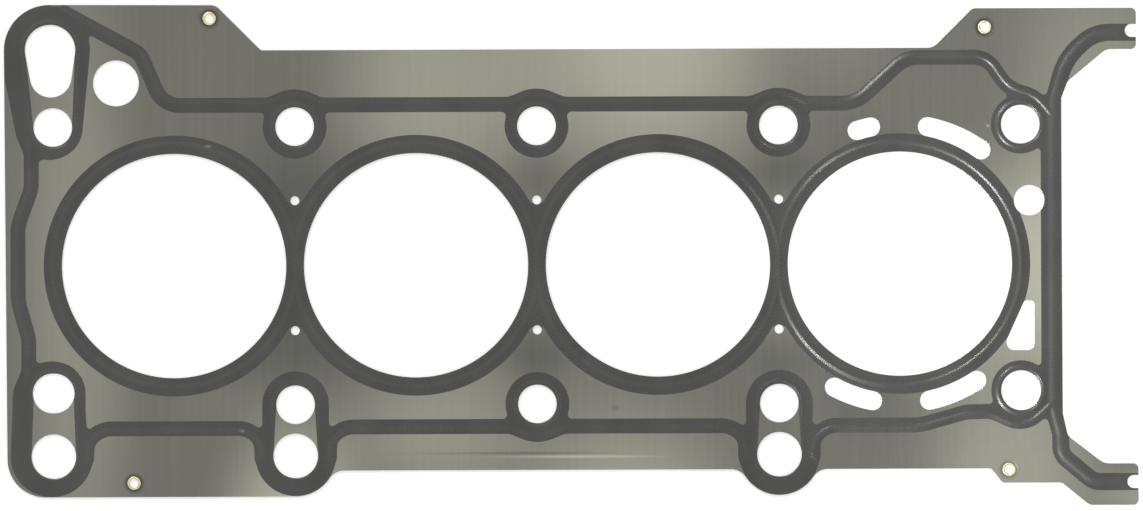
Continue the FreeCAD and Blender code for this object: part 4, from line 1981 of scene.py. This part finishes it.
@dataclass(frozen=True)
class Studio:
    """The pale floor, the white surround, the lamps and the long-lens camera over the gasket."""

    picture_size: tuple[int, int] = (1143, 511)
    millimetres_a_pixel: float = 0.355654
    origin_pixel: tuple[float, float] = (536.971, 264.862)
    roll_degrees: float = -0.196
    camera_height: float = 2.4
    view_depth: float = 20.0
    sensor: float = 36.0
    floor_size: float = 6.0
    floor_drop: float = 0.02
    floor_tone: Range = (0.79, 0.81)
    floor_clouds: Stretch = (30.0, 30.0, 30.0)
    floor_glow: float = 0.35
    surround: float = 0.75
    lamps: tuple[Lamp, ...] = (
        Lamp(
            "side_softbox", LampKind.AREA, aim=(0, 0), compass=115, lean=52,
            distance=1.8, size=0.8, power=8.0,
        ),
        Lamp(
            "lower_left_spot", LampKind.SPOT, aim=(195, 0), compass=223, lean=22,
            distance=1.4, size=0.02, power=19.0, cone_degrees=9.2,
        ),
        Lamp(
            "upper_left_spot", LampKind.SPOT, aim=(195, 0), compass=129, lean=22,
            distance=1.4, size=0.02, power=7.6, cone_degrees=9.2,
        ),
    )

    def camera(self) -> None:
        """Hang the camera straight over the picture's middle, turned as the photograph is."""
        width, height = self.picture_size
        roll = math.radians(self.roll_degrees)
        right, down = width / 2 - self.origin_pixel[0], height / 2 - self.origin_pixel[1]
        x = (right * math.cos(roll) + down * math.sin(roll)) * self.millimetres_a_pixel
        y = (right * math.sin(roll) - down * math.cos(roll)) * self.millimetres_a_pixel
        data = bpy.data.cameras.new("photo_camera")
        data.sensor_width = self.sensor
        data.lens = self.sensor * self.camera_height / (width * self.millimetres_a_pixel * MM)
        data.clip_end = self.view_depth
        made = bpy.data.objects.new("photo_camera", data)
        bpy.context.scene.collection.objects.link(made)
        made.location = (x * MM, y * MM, self.camera_height)
        made.rotation_euler = (0.0, 0.0, roll)
        bpy.context.scene.camera = made

    def seen(self, board: Board) -> Socket:
        """Set out a value that is 1 to the camera and in mirrors and glass, and 0 to all else.

        Args:
            board: The board of the finish.

        Returns:
            The value's socket.
        """
        rays = board.node("LightPath", {}).outputs
        either = board.math("MAXIMUM", rays["Is Camera Ray"], rays["Is Glossy Ray"])
        return board.math("MAXIMUM", either, rays["Is Transmission Ray"])

    def world(self) -> None:
        """Light the scene from all round."""
        world = bpy.data.worlds.new("white_surround")
        world.use_nodes = True
        bpy.context.scene.world = world
        board = Board(world.node_tree)
        inputs = {"Value": self.seen(board), "To Min": self.surround, "To Max": 1.0}
        strength = board.node("MapRange", inputs).outputs[0]
        shade = board.node("Background", {"Color": (1.0, 1.0, 1.0, 1.0), "Strength": strength})
        board.node("OutputWorld", {"Surface": shade.outputs[0]})

    def floor(self) -> None:
        """Lay the floor just under the gasket. It keeps the gasket's shadow."""
        board, material = Board.of_material("pale_floor")
        seen = self.seen(board)
        tone = board.spread(board.grain(self.floor_clouds), *self.floor_tone)
        matt = board.node("BsdfDiffuse", {"Color": tone})
        glow = board.node("Emission", {"Strength": board.math("MULTIPLY", seen, self.floor_glow)})
        both = board.node("AddShader", {0: matt.outputs[0], 1: glow.outputs[0]})
        board.node("OutputMaterial", {"Surface": both.outputs[0]})
        half = self.floor_size / 2
        mesh = bpy.data.meshes.new("studio_floor")
        corners = [(-half, -half), (half, -half), (half, half), (-half, half)]
        mesh.from_pydata([(x, y, -self.floor_drop * MM) for x, y in corners], [], [(0, 1, 2, 3)])
        mesh.materials.append(material)
        made = bpy.data.objects.new("studio_floor", mesh)
        bpy.context.scene.collection.objects.link(made)

    def light(self) -> None:
        """Set the surround and hang the lamps."""
        bpy.context.scene.view_settings.view_transform = "Standard"
        self.world()
        for lamp in self.lamps:
            lamp.build()


def report(pieces: Sequence[bpy.types.Object]) -> None:
    """Log each piece's name and how many faces it has."""
    for piece in pieces:
        LOG.info("%s: %d faces", piece.name, len(piece.data.polygons))


def main() -> None:
    """Build the gasket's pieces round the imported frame, then the studio."""
    logging.basicConfig(level=logging.INFO, format="%(name)s: %(message)s")
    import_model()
    studio = Studio()
    studio.camera()
    plan = GasketPlan()
    plate_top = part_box("steel_plate")[1].z / MM
    coat_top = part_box("seal_coating")[1].z / MM
    eyelet_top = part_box("eyelets")[1].z / MM
    plate = SteelPlate(plan, plate_top)
    report([plate.build(SatinSteelFinish().material(plate.painted_shade_pools()))])
    coat = SealCoat(plan, plate_top, coat_top)
    coat_material = SealCoatFinish().material(plate_top + coat.film, coat_top)
    report([coat.build(area, coat_material) for area in CoatArea])
    eyelets = EyeletSet(plan, plate_top - plate.dish_depth, eyelet_top)
    report(eyelets.build(EyeletBrassFinish().material()))
    studio.floor()
    studio.light()


if __name__ == "__main__":
    main()
